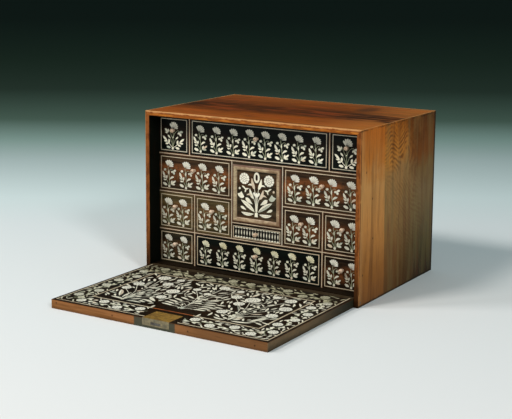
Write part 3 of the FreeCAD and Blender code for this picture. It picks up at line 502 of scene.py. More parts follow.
        # Dirt lies in the joint under the top and along the back edge; the dark band at the foot is painted
        # shade where the side meets the floor
        rough = w.muladd(w.minus(mottle, 0.5), 0.008, z)
        joint = w.times(w.step(rough, CASE_HIGH.z - 0.0052, CASE_HIGH.z - 0.004),
                        w.step(rough, CASE_HIGH.z - 0.001, CASE_HIGH.z - 0.0022))
        joint = w.times(joint, w.step(w.noise(place, 38.0, 4, 0.7), 0.38, 0.6))
        rear = w.step(w.muladd(stain, 0.003, y), CASE_HIGH.y - 0.0075, CASE_HIGH.y - 0.0035)
        foot = w.step(w.muladd(stain, 0.003, z), 0.0075, 0.0035)
        grime_and_foot_shade = w.larger(w.larger(w.times(joint, 0.66), w.times(rear, 0.85)), w.times(foot, 0.85))
        tint = w.mix(grime_and_foot_shade, tint, "241809")
        tint = dark_inside(w, tint, place)
        tint = w.mix(grain["Pores"], tint, "2A1406", 0.4)
        relief = w.muladd(grain["Pores"], -0.6, w.plus(grain["Grain"], figure))
        return finish(w, tint, stain, 0.14, 0.38, relief, 0.2)

    def plain_board(light, dark, along_y, darkened_strip=False):
        def build(w):
            place = w.place()
            x, y, z = w.parts(place)
            grain = w.grain(w.joined(y, x, z) if along_y else place, 90.0, 0.03)
            stain = w.patches(place, 6.0)
            tint = w.mix(w.step(grain["Grain"], 0.35, 0.65), light, dark)
            tint = w.mix(stain, tint, scaled(dark, 0.6), 0.35)
            tint = w.mix(grain["Pores"], tint, scaled(dark, 0.3), 0.45)
            # The strip in front of the drawers is darkened nearly to black
            if darkened_strip:
                tint = w.mix(w.step(y, -0.137, -0.143), tint, "120E08", 0.95)
            return finish(w, tint, stain, 0.2, 0.6, w.muladd(grain["Pores"], -0.8, grain["Grain"]), 0.35)
        return build

    dull = {"Specular_IOR_Level": 0.04}
    material("case_top_wood", top, **dull)
    material("case_side_wood", side, **dull)
    material("backing_board", plain_board("6A4626", "50321A", False), **dull)
    material("floor_board", plain_board("6A4424", "442A16", False, True), **dull)
    material("drawer_lining", plain_board("8A5E36", "5E3C20", True), **dull)


def spots(w, place, middles, radius):
    """Round marks at these places"""
    found = None
    for middle in middles:
        dot = w.step(w.vectors("DISTANCE", place, middle), radius * 1.4, radius * 0.7)
        found = dot if found is None else w.larger(found, dot)
    return found


def veneer_materials(c):
    """Dark fronts, black ones and faded brown ones, and the edges of the nest's boards"""

    def front(ground, patch_scale, rust_share):
        def build(w):
            place = w.place()
            z = w.parts(place)[2]
            grain = w.grain(place, 150.0, 0.02)
            stain = w.patches(place, patch_scale)
            tint = w.mix(w.step(grain["Grain"], 0.35, 0.62), scaled(ground, 1.6), scaled(ground, 0.5))
            # The rows have faded most about the middle of their height
            across = w.maths("COSINE", w.times(w.minus(z, ROW_MIDDLE), math.tau / ROW_PITCH))
            band = w.step(across, -0.3, 0.9)
            faded = w.times(w.times(stain, band), rust_share)
            tint = w.mix(faded, tint, w.mix(grain["Grain"], c.rust, "4C2E18"))
            tint = w.mix(grain["Pores"], tint, "0A0604", 0.5)
            return finish(w, tint, stain, 0.15, 0.32, w.muladd(grain["Pores"], -0.7, grain["Grain"]), 0.15)
        return build

    def nest(w):
        place = w.place()
        y = w.parts(place)[1]
        stain = w.patches(place, 18.0)
        grain = w.grain(place, 160.0, 0.02)
        tint = w.mix(grain["Grain"], "3C2010", "1C0E06")
        tint = w.mix(stain, tint, "6A3A1E", 0.5)
        inside = w.step(y, FRONT_PLANE * MM + 0.0004, FRONT_PLANE * MM + 0.001)
        tint = w.mix(inside, tint, w.mix(grain["Grain"], "4A3020", "2A1A10"))
        return finish(w, tint, stain, 0.2, 0.4, grain["Grain"], 0.2)

    def flap(w):
        place = w.place()
        x, y, z = w.parts(place)
        low, high = FLAP_LOW * MM, FLAP_HIGH * MM
        grain = w.grain(place, 110.0, 0.03)
        stain = w.patches(place, 10.0)
        tint = w.mix(w.step(grain["Grain"], 0.35, 0.62), "180F08", "090503")
        tint = w.mix(stain, tint, "40260F", 0.22)
        # The strip between the sides, by the hinge, is lighter and olive
        tint = w.mix(w.step(y, -0.193, -0.187), tint, "3C3020", 0.8)
        # The outside and the edges are the carcase's wood, and the edge under the lock is dark
        outside = w.mix(w.step(grain["Grain"], 0.38, 0.62), "8E5E38", "704826")
        right = w.step(x, high.x - 0.0012, high.x - 0.0004)
        foot = w.step(w.muladd(stain, 0.005, z), low.z + 0.015, low.z + 0.006)
        outside = w.mix(w.step(x, 0.03, 0.12), outside, "5C4028", 0.62)
        outside = w.mix(right, outside, "6E6048", 0.6)
        # Painted shade: the right edge darkens towards the hinge and low down, and every edge darkens along
        # its foot by the floor
        shaded = w.larger(w.times(foot, 0.5), w.step(y, -0.4, -0.2))
        outside = w.mix(w.times(right, shaded), outside, "22261E", 0.92)
        outside = w.mix(w.step(z, low.z + 0.006, low.z), outside, "3A2A1C", 0.45)
        lock = w.times(w.step(w.maths("ABSOLUTE", w.minus(x, 0.001)), 0.0505, 0.0475),
                       w.step(y, low.y + 0.012, low.y + 0.008))
        outside = w.mix(lock, outside, "3A4036", 0.92)
        holes = spots(w, w.joined(x, 0.0, z), [
            (-0.246, 0, 0.013), (-0.102, 0, 0.01), (0.08, 0, 0.009), (0.23, 0, 0.008),
        ], 0.0018)
        outside = w.mix(holes, outside, "2C180C", 0.7)
        arris = w.step(z, high.z - 0.0022, high.z - 0.0006)
        outside = w.mix(arris, outside, "4C2A14", 0.65)
        behind = w.times(w.step(y, -0.184, -0.18), w.step(z, low.z + 0.003, low.z + 0.009))
        top = w.larger(w.step(w.parts(w.faces())[2], 0.5, 0.9), behind)
        tint = w.mix(top, outside, tint)
        tint = w.mix(grain["Pores"], tint, "0C0805", 0.4)
        return finish(w, tint, stain, 0.16, 0.32, w.muladd(grain["Pores"], -0.7, grain["Grain"]), 0.15)

    polish = {"Specular_IOR_Level": 0.06, "Coat_Weight": c.gloss, "Coat_Roughness": 0.2}
    for name, ground, patch_scale, rust_share in (
        ("black_veneer", c.black, 16.0, 0.05),
        ("brown_veneer", c.brown, 34.0, 0.45),
        ("faded_veneer", scaled(c.brown, 1.3), 34.0, 0.85),
        ("dark_veneer", scaled(c.brown, 0.55), 34.0, 0.45),
        ("olive_veneer", "43371F", 34.0, 0.4),
        ("dark_olive_veneer", "241F12", 34.0, 0.25),
        ("panel_veneer", "30271A", 26.0, 0.2),
    ):
        material(name, front(ground, patch_scale, rust_share), **polish)
    material("nest_board", nest, Specular_IOR_Level=0.08)
    material("flap_wood", flap, Specular_IOR_Level=0.03)


def bone_materials(c):
    """Bone of the inlay, the turned pieces and the moulding, and the wood of the lines"""

    def bone(tint, shade, dirt_share):
        def build(w):
            place = w.place()
            parts = w.group("Bone grain", Vector=place, Scale=38.0)
            made = w.mix(parts["Cloud"], tint, shade)
            made = w.mix(w.step(parts["Lines"], 0.45, 0.75), made, scaled(shade, 0.6), 0.3)
            made = w.mix(parts["Dirt"], made, "5A4426", dirt_share)
            # Painted shade: the flap's bone is darker and greener near its hinge and along its left side
            x, y, _ = w.parts(place)
            before_nest = w.step(y, -0.16, -0.168)
            by_hinge = w.times(w.step(y, -0.262, -0.232), before_nest)
            at_left = w.times(w.step(x, -0.19, -0.215), before_nest)
            flap_shade = w.larger(w.times(by_hinge, 0.75), w.times(at_left, 0.4))
            made = w.mix(flap_shade, made, w.mix(parts["Cloud"], "A49C74", "78724E"))
            return finish(w, made, parts["Cloud"], 0.15, 0.3, parts["Lines"], 0.1)
        return build

    def line(tint, shade):
        def build(w):
            place = w.place()
            patches = w.patches(place, 24.0)
            fibre = w.noise(place, 700.0, 3, 0.7)
            made = w.mix(patches, tint, shade)
            made = w.mix(w.step(fibre, 0.45, 0.7), made, "6A5040", 0.35)
            return finish(w, made, fibre, 0.2, 0.35, fibre, 0.1)
        return build

    def moulding(w):
        place = w.place()
        x, _, z = w.parts(place)
        parts = w.group("Bone grain", Vector=place, Scale=30.0)
        stripes = w.noise(w.stretch(place, (0.25, 1, 1)), 300.0, 3, 0.6)
        made = w.mix(parts["Cloud"], "BEA684", "785A40")
        # Painted light: the left member is greener, as the light falls on it
        made = w.mix(w.step(x, -0.045, -0.06), made, "A69E7C", 0.5)
        made = w.mix(w.step(stripes, 0.45, 0.65), made, "6A4C34", 0.5)
        # The cushion darkens to brown towards its thin outer edge
        low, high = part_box("deep_drawer_moulding")
        middle, half = (low + high) / 2, (high - low) / 2
        off_x = w.minus(half.x, w.maths("ABSOLUTE", w.minus(x, middle.x)))
        off_z = w.minus(half.z, w.maths("ABSOLUTE", w.minus(z, middle.z)))
        rim = w.step(w.muladd(parts["Cloud"], 0.001, w.maths("MINIMUM", off_x, off_z)), 0.0048, 0.0028)
        made = w.mix(rim, made, "55301C", 0.9)
        made = w.mix(parts["Dirt"], made, "5A3E24", 0.6)
        return finish(w, made, parts["Cloud"], 0.15, 0.35, stripes, 0.15)

    def turned(w):
        # Painted shade: the bone darkens towards the back, where the gaps between the balusters fall into
        # shade
        made = bone(scaled(c.bone, 1.06), scaled(c.bone, 0.88), 0.35)(w)
        low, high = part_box("baluster_row")
        deep = w.step(w.parts(w.place())[1], low.y * 0.75 + high.y * 0.25, low.y * 0.4 + high.y * 0.6)
        made["Base_Color"] = w.mix(deep, made["Base_Color"], "1E140A", 0.96)
        return made

    bony = {"Specular_IOR_Level": 0.2, "Coat_Weight": 0.05, "Coat_Roughness": 0.25}
    for name, tint, shade, dirt_share in (
        ("white_bone", c.bone, scaled(c.bone, 0.84), 0.3),
        ("green_bone", c.green_bone, scaled(c.green_bone, 0.82), 0.35),
        ("yellow_bone", "DED8BC", "C6BC96", 0.4),
        ("stained_bone", "D6C4AC", "BEA88C", 0.35),
        # Darker copies of the bone and the blossoms, painted shade for the drawer rows below the top
        ("shaded_bone", scaled(c.bone, 0.8), scaled(c.bone, 0.66), 0.35),
        ("shaded_blossom", scaled(c.green_bone, 0.8), scaled(c.green_bone, 0.66), 0.35),
        ("grey_bone", "C6C6B4", "A6A692", 0.35),
        ("stem_bone", "A6A888", "7E8066", 0.4),
        ("knob_bone", "DCC2A8", "BC9C80", 0.45),
    ):
        material(name, bone(tint, shade, dirt_share), **bony)
    for name, tint, shade in (
        ("string_wood", c.string, scaled(c.string, 0.72)),
        ("pale_string", "CCC2AC", "A89C86"),
        ("flap_string", "D2C2A4", "A8967A"),
        ("bare_string", "B05C24", "7A3C18"),
        ("pin_wood", "7A5230", "4A2E1A"),
    ):
        material(name, line(tint, shade), **bony)
    material("turned_bone", turned, **bony)
    material("cushion_bone", moulding, **bony)


def metal_materials(c):
    """Old brass of the lock plate, and iron of bolts, pins and lock cases"""

    def metal(bright, dull, scale, fold=None):
        def build(w):
            place = w.place()
            patches = w.patches(place, scale)
            scratch = w.noise(w.stretch(place, (0.1, 1, 1)), 900.0, 2, 0.6)
            made = w.mix(patches, bright, dull)
            made = w.mix(w.step(scratch, 0.5, 0.75), made, scaled(dull, 0.5), 0.3)
            metallic = w.muladd(patches, -0.3, 0.8)
            if fold:
                # The folded edge is tarnished through
                edge = w.step(w.parts(place)[1], fold + 0.0016, fold + 0.001)
                made = w.mix(edge, made, w.mix(patches, "7A765E", "4A4A3C"), 0.85)
                metallic = w.times(metallic, w.muladd(edge, -0.8, 1.0))
            return {
                "Base_Color": made,
                "Metallic": metallic,
                "Roughness": w.muladd(patches, 0.2, 0.32),
                "Height": scratch,
                "Strength": 0.12,
            }
        return build

    material("old_brass", metal("E0AC4C", "7E5A26", 34.0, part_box("lock_plate")[0].y))
    material("dull_iron", metal("6A6660", "3A342E", 80.0))


def cover(node, name):
    """Gives a carried-over node its finish"""
    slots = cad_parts[node].material_slots
    if not slots:
        raise RuntimeError(f"{node} has no material slot to fill")
    for item in slots:
        item.material = MATERIALS[name]


def add_piece(name, body, points, polygons, finishes):
    """A mesh with its own finishes, which rides on a body"""
    mesh = bpy.data.meshes.new(name)
    mesh.from_pydata(points, [], polygons)
    for look in finishes:
        mesh.materials.append(MATERIALS[look])
    piece = bpy.data.objects.new(name, mesh)
    bpy.context.scene.collection.objects.link(piece)
    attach(piece, body)
    return mesh


# ---------------------------------------------------------------- inlay

# Finishes of the plates by tone, where a white plate may turn out stained or grey
TONES = ("white_bone", "green_bone", "stained_bone", "grey_bone", "stem_bone")
WHITE, GREEN, STAINED, GREY, STEM = range(5)
WHITE_ODDS = {WHITE: 24, STAINED: 1, GREY: 2}
# Tones of a line's strips. A varied one changes as a white plate does, and the others take the second and the
# third finish.
VARIED, EVEN, BARE = WHITE, 1, 2
# Bare wood round a small leaf, and the side of the squares for looking plates up, in millimetres
LEAF_GAP, SQUARE = 1.3, 4
# Sides of a round plate
DOT_SIDES = 12


class Inlay:
    """Plates let into one face, gathered into one mesh. Points are complex numbers in millimetres."""

    def __init__(self, face, sizes, seed=0):
        self.face = face
        self.sunk, self.proud = sizes.sunk / MM, sizes.proud / MM
        self.chance = random.Random(seed)
        self.points = []
        self.polygons = []
        self.tones = []
        self.taken = {}
        self.at(0)

    def at(self, origin, turn=1, flip=False):
        """Where the following plates go: turned and scaled by turn, upside down where flip is true"""
        self.origin = origin
        self.turn = turn
        self.flip = flip

    def spot(self, point):
        """Where a point of the pattern comes on the face"""
        return self.origin + self.turn * (point.conjugate() if self.flip else point)

    def plate(self, outline, tone=WHITE):
        """One plate with this outline. No two plates are quite alike in height or tone."""
        spots = [self.spot(point) for point in outline]
        area = sum((a.conjugate() * b).imag for a, b in zip(spots, spots[1:] + spots[:1]))
        if area < 0:
            spots.reverse()
        if tone == WHITE:
            tone = self.chance.choices(tuple(WHITE_ODDS), tuple(WHITE_ODDS.values()))[0]
        low = len(self.points)
        count = len(spots)
        for height in (-self.sunk, self.proud * self.chance.uniform(0.75, 1)):
            self.points += [self.face(spot.real, spot.imag, height) for spot in spots]
        self.polygons.append(tuple(range(low + count, low + 2 * count)))
        self.polygons.append(tuple(range(low + count - 1, low - 1, -1)))
        for index in range(count):
            after = (index + 1) % count
            self.polygons.append((low + index, low + after, low + count + after, low + count + index))
        self.tones += [tone] * (count + 2)
        middle = sum(spots) / count
        for a, b in zip(spots, spots[1:] + spots[:1]):
            for mark in (a, (a + b) / 2, (a + middle) / 2):
                self.taken.setdefault(self.square(mark), []).append(mark)

    def square(self, point):
        """Column and row of the square that a point is in"""
        return int(point.real // SQUARE), int(point.imag // SQUARE)

    def free(self, point, reach):
        """Whether the wood is bare this far round a point, at most one square"""
        column, row = self.square(point)
        return not any(
            abs(mark - point) < reach
            for near_column in (column - 1, column, column + 1)
            for near_row in (row - 1, row, row + 1)
            for mark in self.taken.get((near_column, near_row), ())
        )

    def fill(self, low, high, aim, leaves, tries):
        """Small leaves as (length, width) in the bare wood between two corners, each pointing as aim says"""
        chance = self.chance
        for reach, width in leaves:
            for _ in range(tries):
                middle = complex(chance.uniform(low.real, high.real), chance.uniform(low.imag, high.imag))
                way = aim(middle) * cis(chance.choice((-38, 0, 38)) + chance.uniform(-16, 16))
                if all(
                    self.free(middle + way * reach * part, width * thick + LEAF_GAP)
                    for part, thick in ((-0.5, 0.05), (-0.25, 0.4), (0, 0.5), (0.25, 0.42), (0.5, 0.05))
                ):
                    half = way * reach / 2
                    bend = chance.uniform(-0.09, 0.09) * reach
                    self.leaf(middle - half, middle + half, width, bend, 0.55, 0.8)

    def leaf(
        self, base, tip, width, bend=0.0, belly=0.45, blunt=1.0, split=0.0, tone=WHITE, steps=7, notch=0.0
    ):
        """
        A leaf or petal from base to tip, bent to the left. It is widest at belly of its length, pointed where
        blunt is high, cut along its rib where split is not nought, and serrated where notch is not nought.
        """
        along = tip - base
        side = 1j * along / abs(along)
        power = math.log(0.5) / math.log(belly)
        rib = []
        halves = []
        for index in range(steps + 1):
            part = index / steps
            rib.append(base + along * part + side * bend * 4 * part * (1 - part))
            shape = max(math.sin(math.pi * part ** power), 0) ** blunt
            halves.append(width / 2 * shape * (1 - notch * (index % 2)))
        left = [spot + side * half for spot, half in zip(rib, halves)]
        right = [spot - side * half for spot, half in zip(rib, halves)]
        if split:
            gaps = [min(split / 2, half * 0.6) for half in halves]
            for sign, edge in ((1, left), (-1, right)):
                inner = [spot + sign * side * gap for spot, gap in zip(rib, gaps)]
                self.plate(edge[:-1] + [tip] + inner[-2:0:-1], tone)
        else:
            self.plate(left[:-1] + [tip] + right[-2:0:-1], tone)

    def stem(self, spots, start, end, tone=WHITE):
        """A thin curved band through some points, with its widths at the start and at the end"""
        path = smooth(spots)
        left = []
        right = []
        for index, spot in enumerate(path):
            ahead = path[min(index + 1, len(path) - 1)] - path[max(index - 1, 0)]
            side = 1j * ahead / abs(ahead)
            half = (start + (end - start) * index / (len(path) - 1)) / 2
            left.append(spot + side * half)
            right.append(spot - side * half)
        self.plate(left + right[::-1], tone)

    def dot(self, middle, radius, tone=WHITE, stretch=1.0):
        """A round or oval plate, with stretch as a complex number that gives its long way"""
        turns = [math.tau * index / DOT_SIDES for index in range(DOT_SIDES)]
        long_way = stretch / abs(stretch)
        self.plate([
            middle + radius * long_way * complex(math.cos(a) * abs(stretch), math.sin(a)) for a in turns
        ], tone)

    def disc(self, middle, radius, scallops, start):
        """A full round flower with a scalloped rim, as two rings of petals round a button"""
        self.dot(middle, radius * 0.2, GREEN)
        for inner, outer, count in ((0.25, 0.52, 6), (0.56, 1.0, scallops)):
            for index in range(count):
                ring = []
                for part in (0.04, 0.27, 0.5, 0.73, 0.96):
                    bulge = 1 - 0.09 * (2 * part - 1) ** 2
                    ring.append(middle + radius * outer * bulge * cis(start + 360 * (index + part) / count))
                for part in (0.94, 0.5, 0.06):
                    ring.append(middle + radius * inner * cis(start + 360 * (index + part) / count))
                self.plate(ring, GREEN)

    def fan(self, base, petals):
        """A flower seen from the side: wedge-shaped petals as (angle, length), side by side"""
        angles = [angle for angle, _ in petals]
        for index, (angle, reach) in enumerate(petals):
            before = (angle + angles[index - 1]) / 2 if index else angle + 10
            after = (angle + angles[index + 1]) / 2 if index + 1 < len(petals) else angle - 9
            self.plate([
                base + cis(before - 8) * reach * 0.16, base + cis(before - 0.9) * reach * 0.6,
                base + cis(before - 0.7) * reach * 0.9, base + cis(angle + 3) * reach,
                base + cis(angle - 3) * reach, base + cis(after + 0.7) * reach * 0.9,
                base + cis(after + 0.9) * reach * 0.6, base + cis(after + 8) * reach * 0.16,
            ], GREEN)

    def lobes(self, base, angle, size, tone, spread, fat):
        """Three rounded lobes from one point"""
        for turn_by, reach in ((-spread, 0.85), (0, 1.0), (spread, 0.85)):
            tip = base + cis(angle + turn_by) * size * reach
            self.leaf(base, tip, size * fat, 0, 0.6, 0.65, tone=tone, steps=6)

    def bar(self, low, high, tone):
        """A straight strip between two corners"""
        self.plate([low, complex(high.real, low.imag), high, complex(low.real, high.imag)], tone)

    def across(self, y, start, end, half, tone=VARIED):
        """A strip from left to right, half its width to each side of a level line"""
        self.bar(complex(start, y - half), complex(end, y + half), tone)

    def upright(self, x, start, end, half, tone=VARIED):
        """A strip upwards, half its width to each side of an upright line"""
        self.bar(complex(x - half, start), complex(x + half, end), tone)

    def frame(self, low, high, width):
        """Four mitred strips, with their middle on this rectangle"""
        half = width / 2
        corners = (low, complex(high.real, low.imag), high, complex(low.real, high.imag))
        ways = (complex(-half, -half), complex(half, -half), complex(half, half), complex(-half, half))
        outer = [corner + way for corner, way in zip(corners, ways)]
        inner = [corner - way for corner, way in zip(corners, ways)]
        for index in range(4):
            after = (index + 1) % 4
            self.plate([outer[index], outer[after], inner[after], inner[index]])

    def finished(self, name, body, tones=TONES):
        """Makes the plates one piece on a body"""
        mesh = add_piece(name, body, self.points, self.polygons, tones)
        mesh.polygons.foreach_set("material_index", self.tones)
        mesh.update()


def cis(degrees):
    """A unit step in a direction"""
    return complex(math.cos(math.radians(degrees)), math.sin(math.radians(degrees)))


def smooth(spots, steps=5):
    """A smooth path through some points"""
    ends = [2 * spots[0] - spots[1]] + list(spots) + [2 * spots[-1] - spots[-2]]
    path = []
    for before, start, end, after in zip(ends, ends[1:], ends[2:], ends[3:]):
        for index in range(steps):
            t = index / steps
            path.append(0.5 * (
                2 * start + (end - before) * t
                + (2 * before - 5 * start + 4 * end - after) * t * t
                + (3 * start - before - 3 * end + after) * t ** 3
            ))
    return path + [spots[-1]]


def on_fronts(x, z, out):
    """A point on the drawer fronts' plane"""
    return x * MM, (FRONT_PLANE - out) * MM, z * MM


def on_flap(x, y, out):
    """A point on the open flap's upper face"""
    return x * MM, y * MM, (FLAP_HIGH.z + out) * MM


# ---------------------------------------------------------------- plants

# Petals of the fronts' blossoms as (angle, length)
ROW_FAN = ((114, 14.6), (95, 15.8), (77, 16.8), (60, 17.4), (44, 17.2), (28, 16.4), (13, 14.6))


def row_plant(inlay):
    """The plant of the long drawers: one blossom, one round bud, one three-lobed bud and four leaves"""
    inlay.stem([0.6 + 2j, 0.9 + 11j, -0.2 + 22j, -1.2 + 33j, -2.9 + 39j, -3 + 44j], 1.5, 1.1, STEM)
    inlay.leaf(-0.4 + 25j, -1.4 + 36j, 3.4, 0.3, 0.62, 0.8)
    inlay.fan(-3.2 + 43.6j, ROW_FAN)
    inlay.stem([-1.4 + 27j, -5 + 31j, -8.5 + 34.5j], 0.9, 0.8, STEM)
    inlay.dot(-11.6 + 37j, 2.7, WHITE, 1.25 * cis(8))
    inlay.stem([-0.6 + 2j, -3.2 + 8j, -6.6 + 13j, -8.6 + 18j], 1.2, 1.0, STEM)
    for base, tip, width, bend in (
        (-9 + 20j, -18 + 34j, 6.4, 1.4), (-8.8 + 18.4j, -18 + 21.8j, 4.4, 0.6),
        (-6.8 + 14.4j, -16.2 + 14.6j, 4.4, 0.8), (-7.2 + 15.4j, -5.9 + 24.6j, 5.2, 0.6),
    ):
        inlay.leaf(base, tip, width * 0.98, bend, 0.56, 0.85, steps=10, notch=0.32)
    inlay.stem([-0.6 + 32j, 1.6 + 37j, 5.6 + 39.4j, 9.4 + 37.4j], 0.9, 0.8, STEM)
    for tip, width in ((18.9 + 37.4j, 6), (14.4 + 27.4j, 6.4), (5.4 + 31.4j, 5.6)):
        inlay.leaf(10.6 + 35.4j, tip, width * 0.94, 0, 0.6, 0.8, steps=8, notch=0.22)
    inlay.leaf(1.2 + 14.6j, 13.4 + 22.2j, 4.6, 1.8, 0.6, 0.7)
    inlay.stem([0.8 + 2j, 3 + 3.4j, 6 + 5j], 1.2, 1.1, STEM)
    for tip, width in ((18.4 + 14.2j, 5.4), (8.2 + 13.6j, 4.8), (16.4 + 4.6j, 4.6)):
        inlay.leaf(4.8 + 4.6j, tip, width * 0.98, 0, 0.58, 0.85, steps=8, notch=0.28)
    inlay.leaf(-5.4 + 1.8j, -17.6 + 6.4j, 6.2, 0, 0.5, 0.55)
    inlay.dot(0, 2.8, WHITE, 1.12 * 1j)


def corner_plant(inlay):
    """The plant of the small top drawers, with drops and serrated sprays either side"""
    for spots in (
        [0.4 + 3j, 0.6 + 14j, 1.4 + 30j, -1 + 45j], [-0.4 + 3j, -2.4 + 13j, -6.6 + 22j],
        [1 + 3j, 3 + 12j, 7.4 + 20.6j], [-0.2 + 22j, -5 + 31j, -9.4 + 40j, -13 + 41j],
        [1.4 + 24j, 5 + 34j, 12 + 41j, 18 + 40j],
    ):
        inlay.stem(spots, 1.1, 0.8, STEM)
    inlay.fan(-0.6 + 44j, ROW_FAN[1:])
    inlay.leaf(-0.6 + 44j, -7.6 + 56.4j, 4.6, 0, 0.7, 0.6, tone=GREEN)
    inlay.dot(0.7 + 25.6j, 1.3)
    for base, tip, width in (
        (-12 + 35.6j, -22 + 44j, 6.6), (-12.6 + 34.4j, -21 + 35.4j, 4.4), (-12.4 + 36j, -12 + 43.6j, 4.4),
        (17 + 38.4j, 28 + 39.6j, 6.4), (17 + 38j, 23 + 29.2j, 6.4), (16.4 + 38.4j, 14.4 + 32.6j, 4.4),
        (-6.4 + 22.4j, -13.8 + 30.2j, 4.4), (7.4 + 21.2j, 15 + 27.6j, 4.4),
        (-10 + 11j, -20.4 + 9.6j, 5), (-9.6 + 10.6j, -10.6 + 21j, 5.8), (-14 + 15j, -27.4 + 26.6j, 6),
        (-14.6 + 14.4j, -24 + 16.2j, 4.6), (12 + 9.6j, 22.4 + 6.6j, 5.2), (11.4 + 9.8j, 14 + 19.6j, 5.6),
        (17 + 13.4j, 31 + 24.2j, 6), (17.2 + 12.6j, 28.6 + 13j, 4.8),
    ):
        inlay.leaf(base, tip, width * 0.98, 0, 0.58, 0.85, steps=8, notch=0.26)
    for spots in ([-1 + 2j, -6 + 7j, -14 + 15j], [1 + 2j, 8 + 6j, 17 + 13.4j]):
        inlay.stem(spots, 1.3, 1.1)
    for middle, way in ((-11.4 + 2.2j, -10), (12.8 + 1.4j, -10)):
        inlay.dot(middle, 2.7, WHITE, 2.05 * cis(way))
    inlay.dot(0, 3)


# Leaves of the deep drawer's plant as (base, tip, width, bend, belly, blunt), with the width of the cut along
# the rib where there is one
DEEP_UPPER_LEAVES = (
    (-4.8 + 59.5j, -12.2 + 85j, 7.4, 1.4, 0.36, 0.8), (-9 + 66.5j, -22.6 + 67.4j, 4, -2.8, 0.45, 0.8),
    (-8.2 + 38.5j, -17.4 + 61.4j, 7.2, 1.4, 0.36, 0.8), (-12 + 44.5j, -26 + 44.8j, 4, -3.0, 0.45, 0.8),
    (-19.4 + 60.6j, -32.6 + 59j, 3.6, 0.8, 0.5, 0.8), (-28 + 58.6j, -37.8 + 65j, 3.4, -0.6, 0.5, 0.8),
    (-26.6 + 58.6j, -29.6 + 51j, 3.2, 0, 0.5, 0.8),
)
DEEP_LOWER_LEAVES = (
    (-9.6 + 26.4j, -28 + 39.4j, 8.8, 0.4, 0.66, 0.62),
    (-4.4 + 9.6j, -39.8 + 33.4j, 9.8, -1.6, 0.5, 0.75, 0.5),
    (-25.8 + 12.2j, -40.6 + 19j, 5.8, 0, 0.66, 0.55),
    (-6.4 + 5.4j, -39 + 6.4j, 7, 2.6, 0.5, 0.75, 0.45),
)


def deep_plant(inlay):
    """The plant of the deep drawer, nearly the same on both sides of its stem"""
    origin = inlay.origin
    for sign, flip in ((1, False), (-1, True)):
        # The left half is drawn, then the right half as its mirror image
        inlay.at(origin, sign, flip)
        inlay.disc(-31.3 + 81.5j, 12.6, 11, 8)
        inlay.stem([-1.6 + 10j, -3.4 + 30j, -8 + 42j], 1.2, 1.2)
        inlay.stem([-0.9 + 12j, -2.2 + 40j, -4.8 + 60j], 1.1, 1.2)
        for leaf in DEEP_UPPER_LEAVES:
            inlay.leaf(*leaf)
        inlay.dot(-43.2 + 58.8j, 2.6)
        inlay.plate([
            -38.6 + 52.4j, -42.4 + 48.4j, -48.8 + 46j, -46.4 + 42j, -42.6 + 38.4j, -38 + 37j, -33.4 + 38.6j,
            -31.4 + 41.6j, -35.4 + 47.4j,
        ])
        for leaf in DEEP_LOWER_LEAVES:
            inlay.leaf(*leaf)
    inlay.at(origin)
    inlay.stem([8j, 30j, 42j], 1.3, 1.2)
    for angle, reach, width in ((90, 11.5, 5), (124, 14, 5.6), (56, 14, 5.6)):
        inlay.leaf(41.6j, 41.6j + cis(angle) * reach, width, 0, 0.66, 0.6, tone=GREEN)
    inlay.plate([-4.6 - 1j, 3.6 - 1j, 3.2 + 8.6j, -3.6 + 8.6j])


# Where each plant of a row stands, from left to right, in millimetres
PLANT_BASES = {
    "top_middle_drawer": (-147, -104.6, -61.6, -20.2, 20.5, 62, 104, 145),
    "upper_left_drawer": (-232.9, -186.7, -141.8, -98.4),
    "lower_outer_left_drawer": (-234.6, -194.4),
    "lower_inner_left_drawer": (-135.6, -94.6),
    "bottom_left_drawer": (-234.6, -194.4),
    "bottom_middle_drawer": (-132.6, -88.2, -43.8, 0.8, 45, 89.4, 133),
    "upper_right_drawer": (95.1, 140.2, 184.5, 228.9),
    "lower_inner_right_drawer": (92.5, 132.6),
    "lower_outer_right_drawer": (193.1, 233.1),
    "bottom_right_drawer": (192.7, 233.6),
}


# Height of the fronts that the plants are drawn for, and from a front's line to the foot of its plants
DRAWN_HEIGHT, PLANT_RISE = 81.55, 4.9


def inlay_front(name, sizes, seed):
    """The line and the plants of one plain drawer"""
    chance = random.Random(seed)
    left, low, right, top = drawer_box(name)
    inlay = Inlay(on_fronts, sizes, seed)
    bases = PLANT_BASES.get(name, ())
    # The bottom fronts are lower than the others, so their plants are a little shorter
    height = (top - low) / DRAWN_HEIGHT
    inset = sizes.string_inset / MM
    foot = low + inset + PLANT_RISE
    for x in bases:
        size = height * (1 + chance.uniform(-0.02, 0.02))
        inlay.at(complex(x, foot), size * cis(chance.uniform(-1.6, 1.6)))
        row_plant(inlay)
    if not bases:
        inlay.at(complex(halfway(left, right) - 3.2, foot), cis(chance.uniform(-1, 1)))
        corner_plant(inlay)
    # Lit and shaded copies: the top row takes the bright bone, and the rows below a darker copy as painted
    # shade lower in the nest
    at_top = name.startswith("top")
    leaves, blossoms = ("white_bone", "green_bone") if at_top else ("shaded_bone", "shaded_blossom")
    if name == "bottom_middle_drawer":
        blossoms = "yellow_bone"
    inlay.finished(name + "_inlay", name, tones=(leaves, blossoms, *TONES[2:]))

    line = Inlay(on_fronts, sizes)
    corner, opposite = complex(left + inset, low + inset), complex(right - inset, top - inset)
    line.frame(corner, opposite, sizes.string_width / MM)
    line.finished(name + "_stringing", name, ("pale_string" if at_top else "string_wood",) * 4)


# ---------------------------------------------------------------- operators

class CabinetStep:
    """What every step of the cabinet shares"""

    bl_options = {"REGISTER", "UNDO"}

    @property
    def sizes(self):
        return bpy.context.scene.cabinet_sizes

    @property
    def colours(self):
        return bpy.context.scene.cabinet_colours


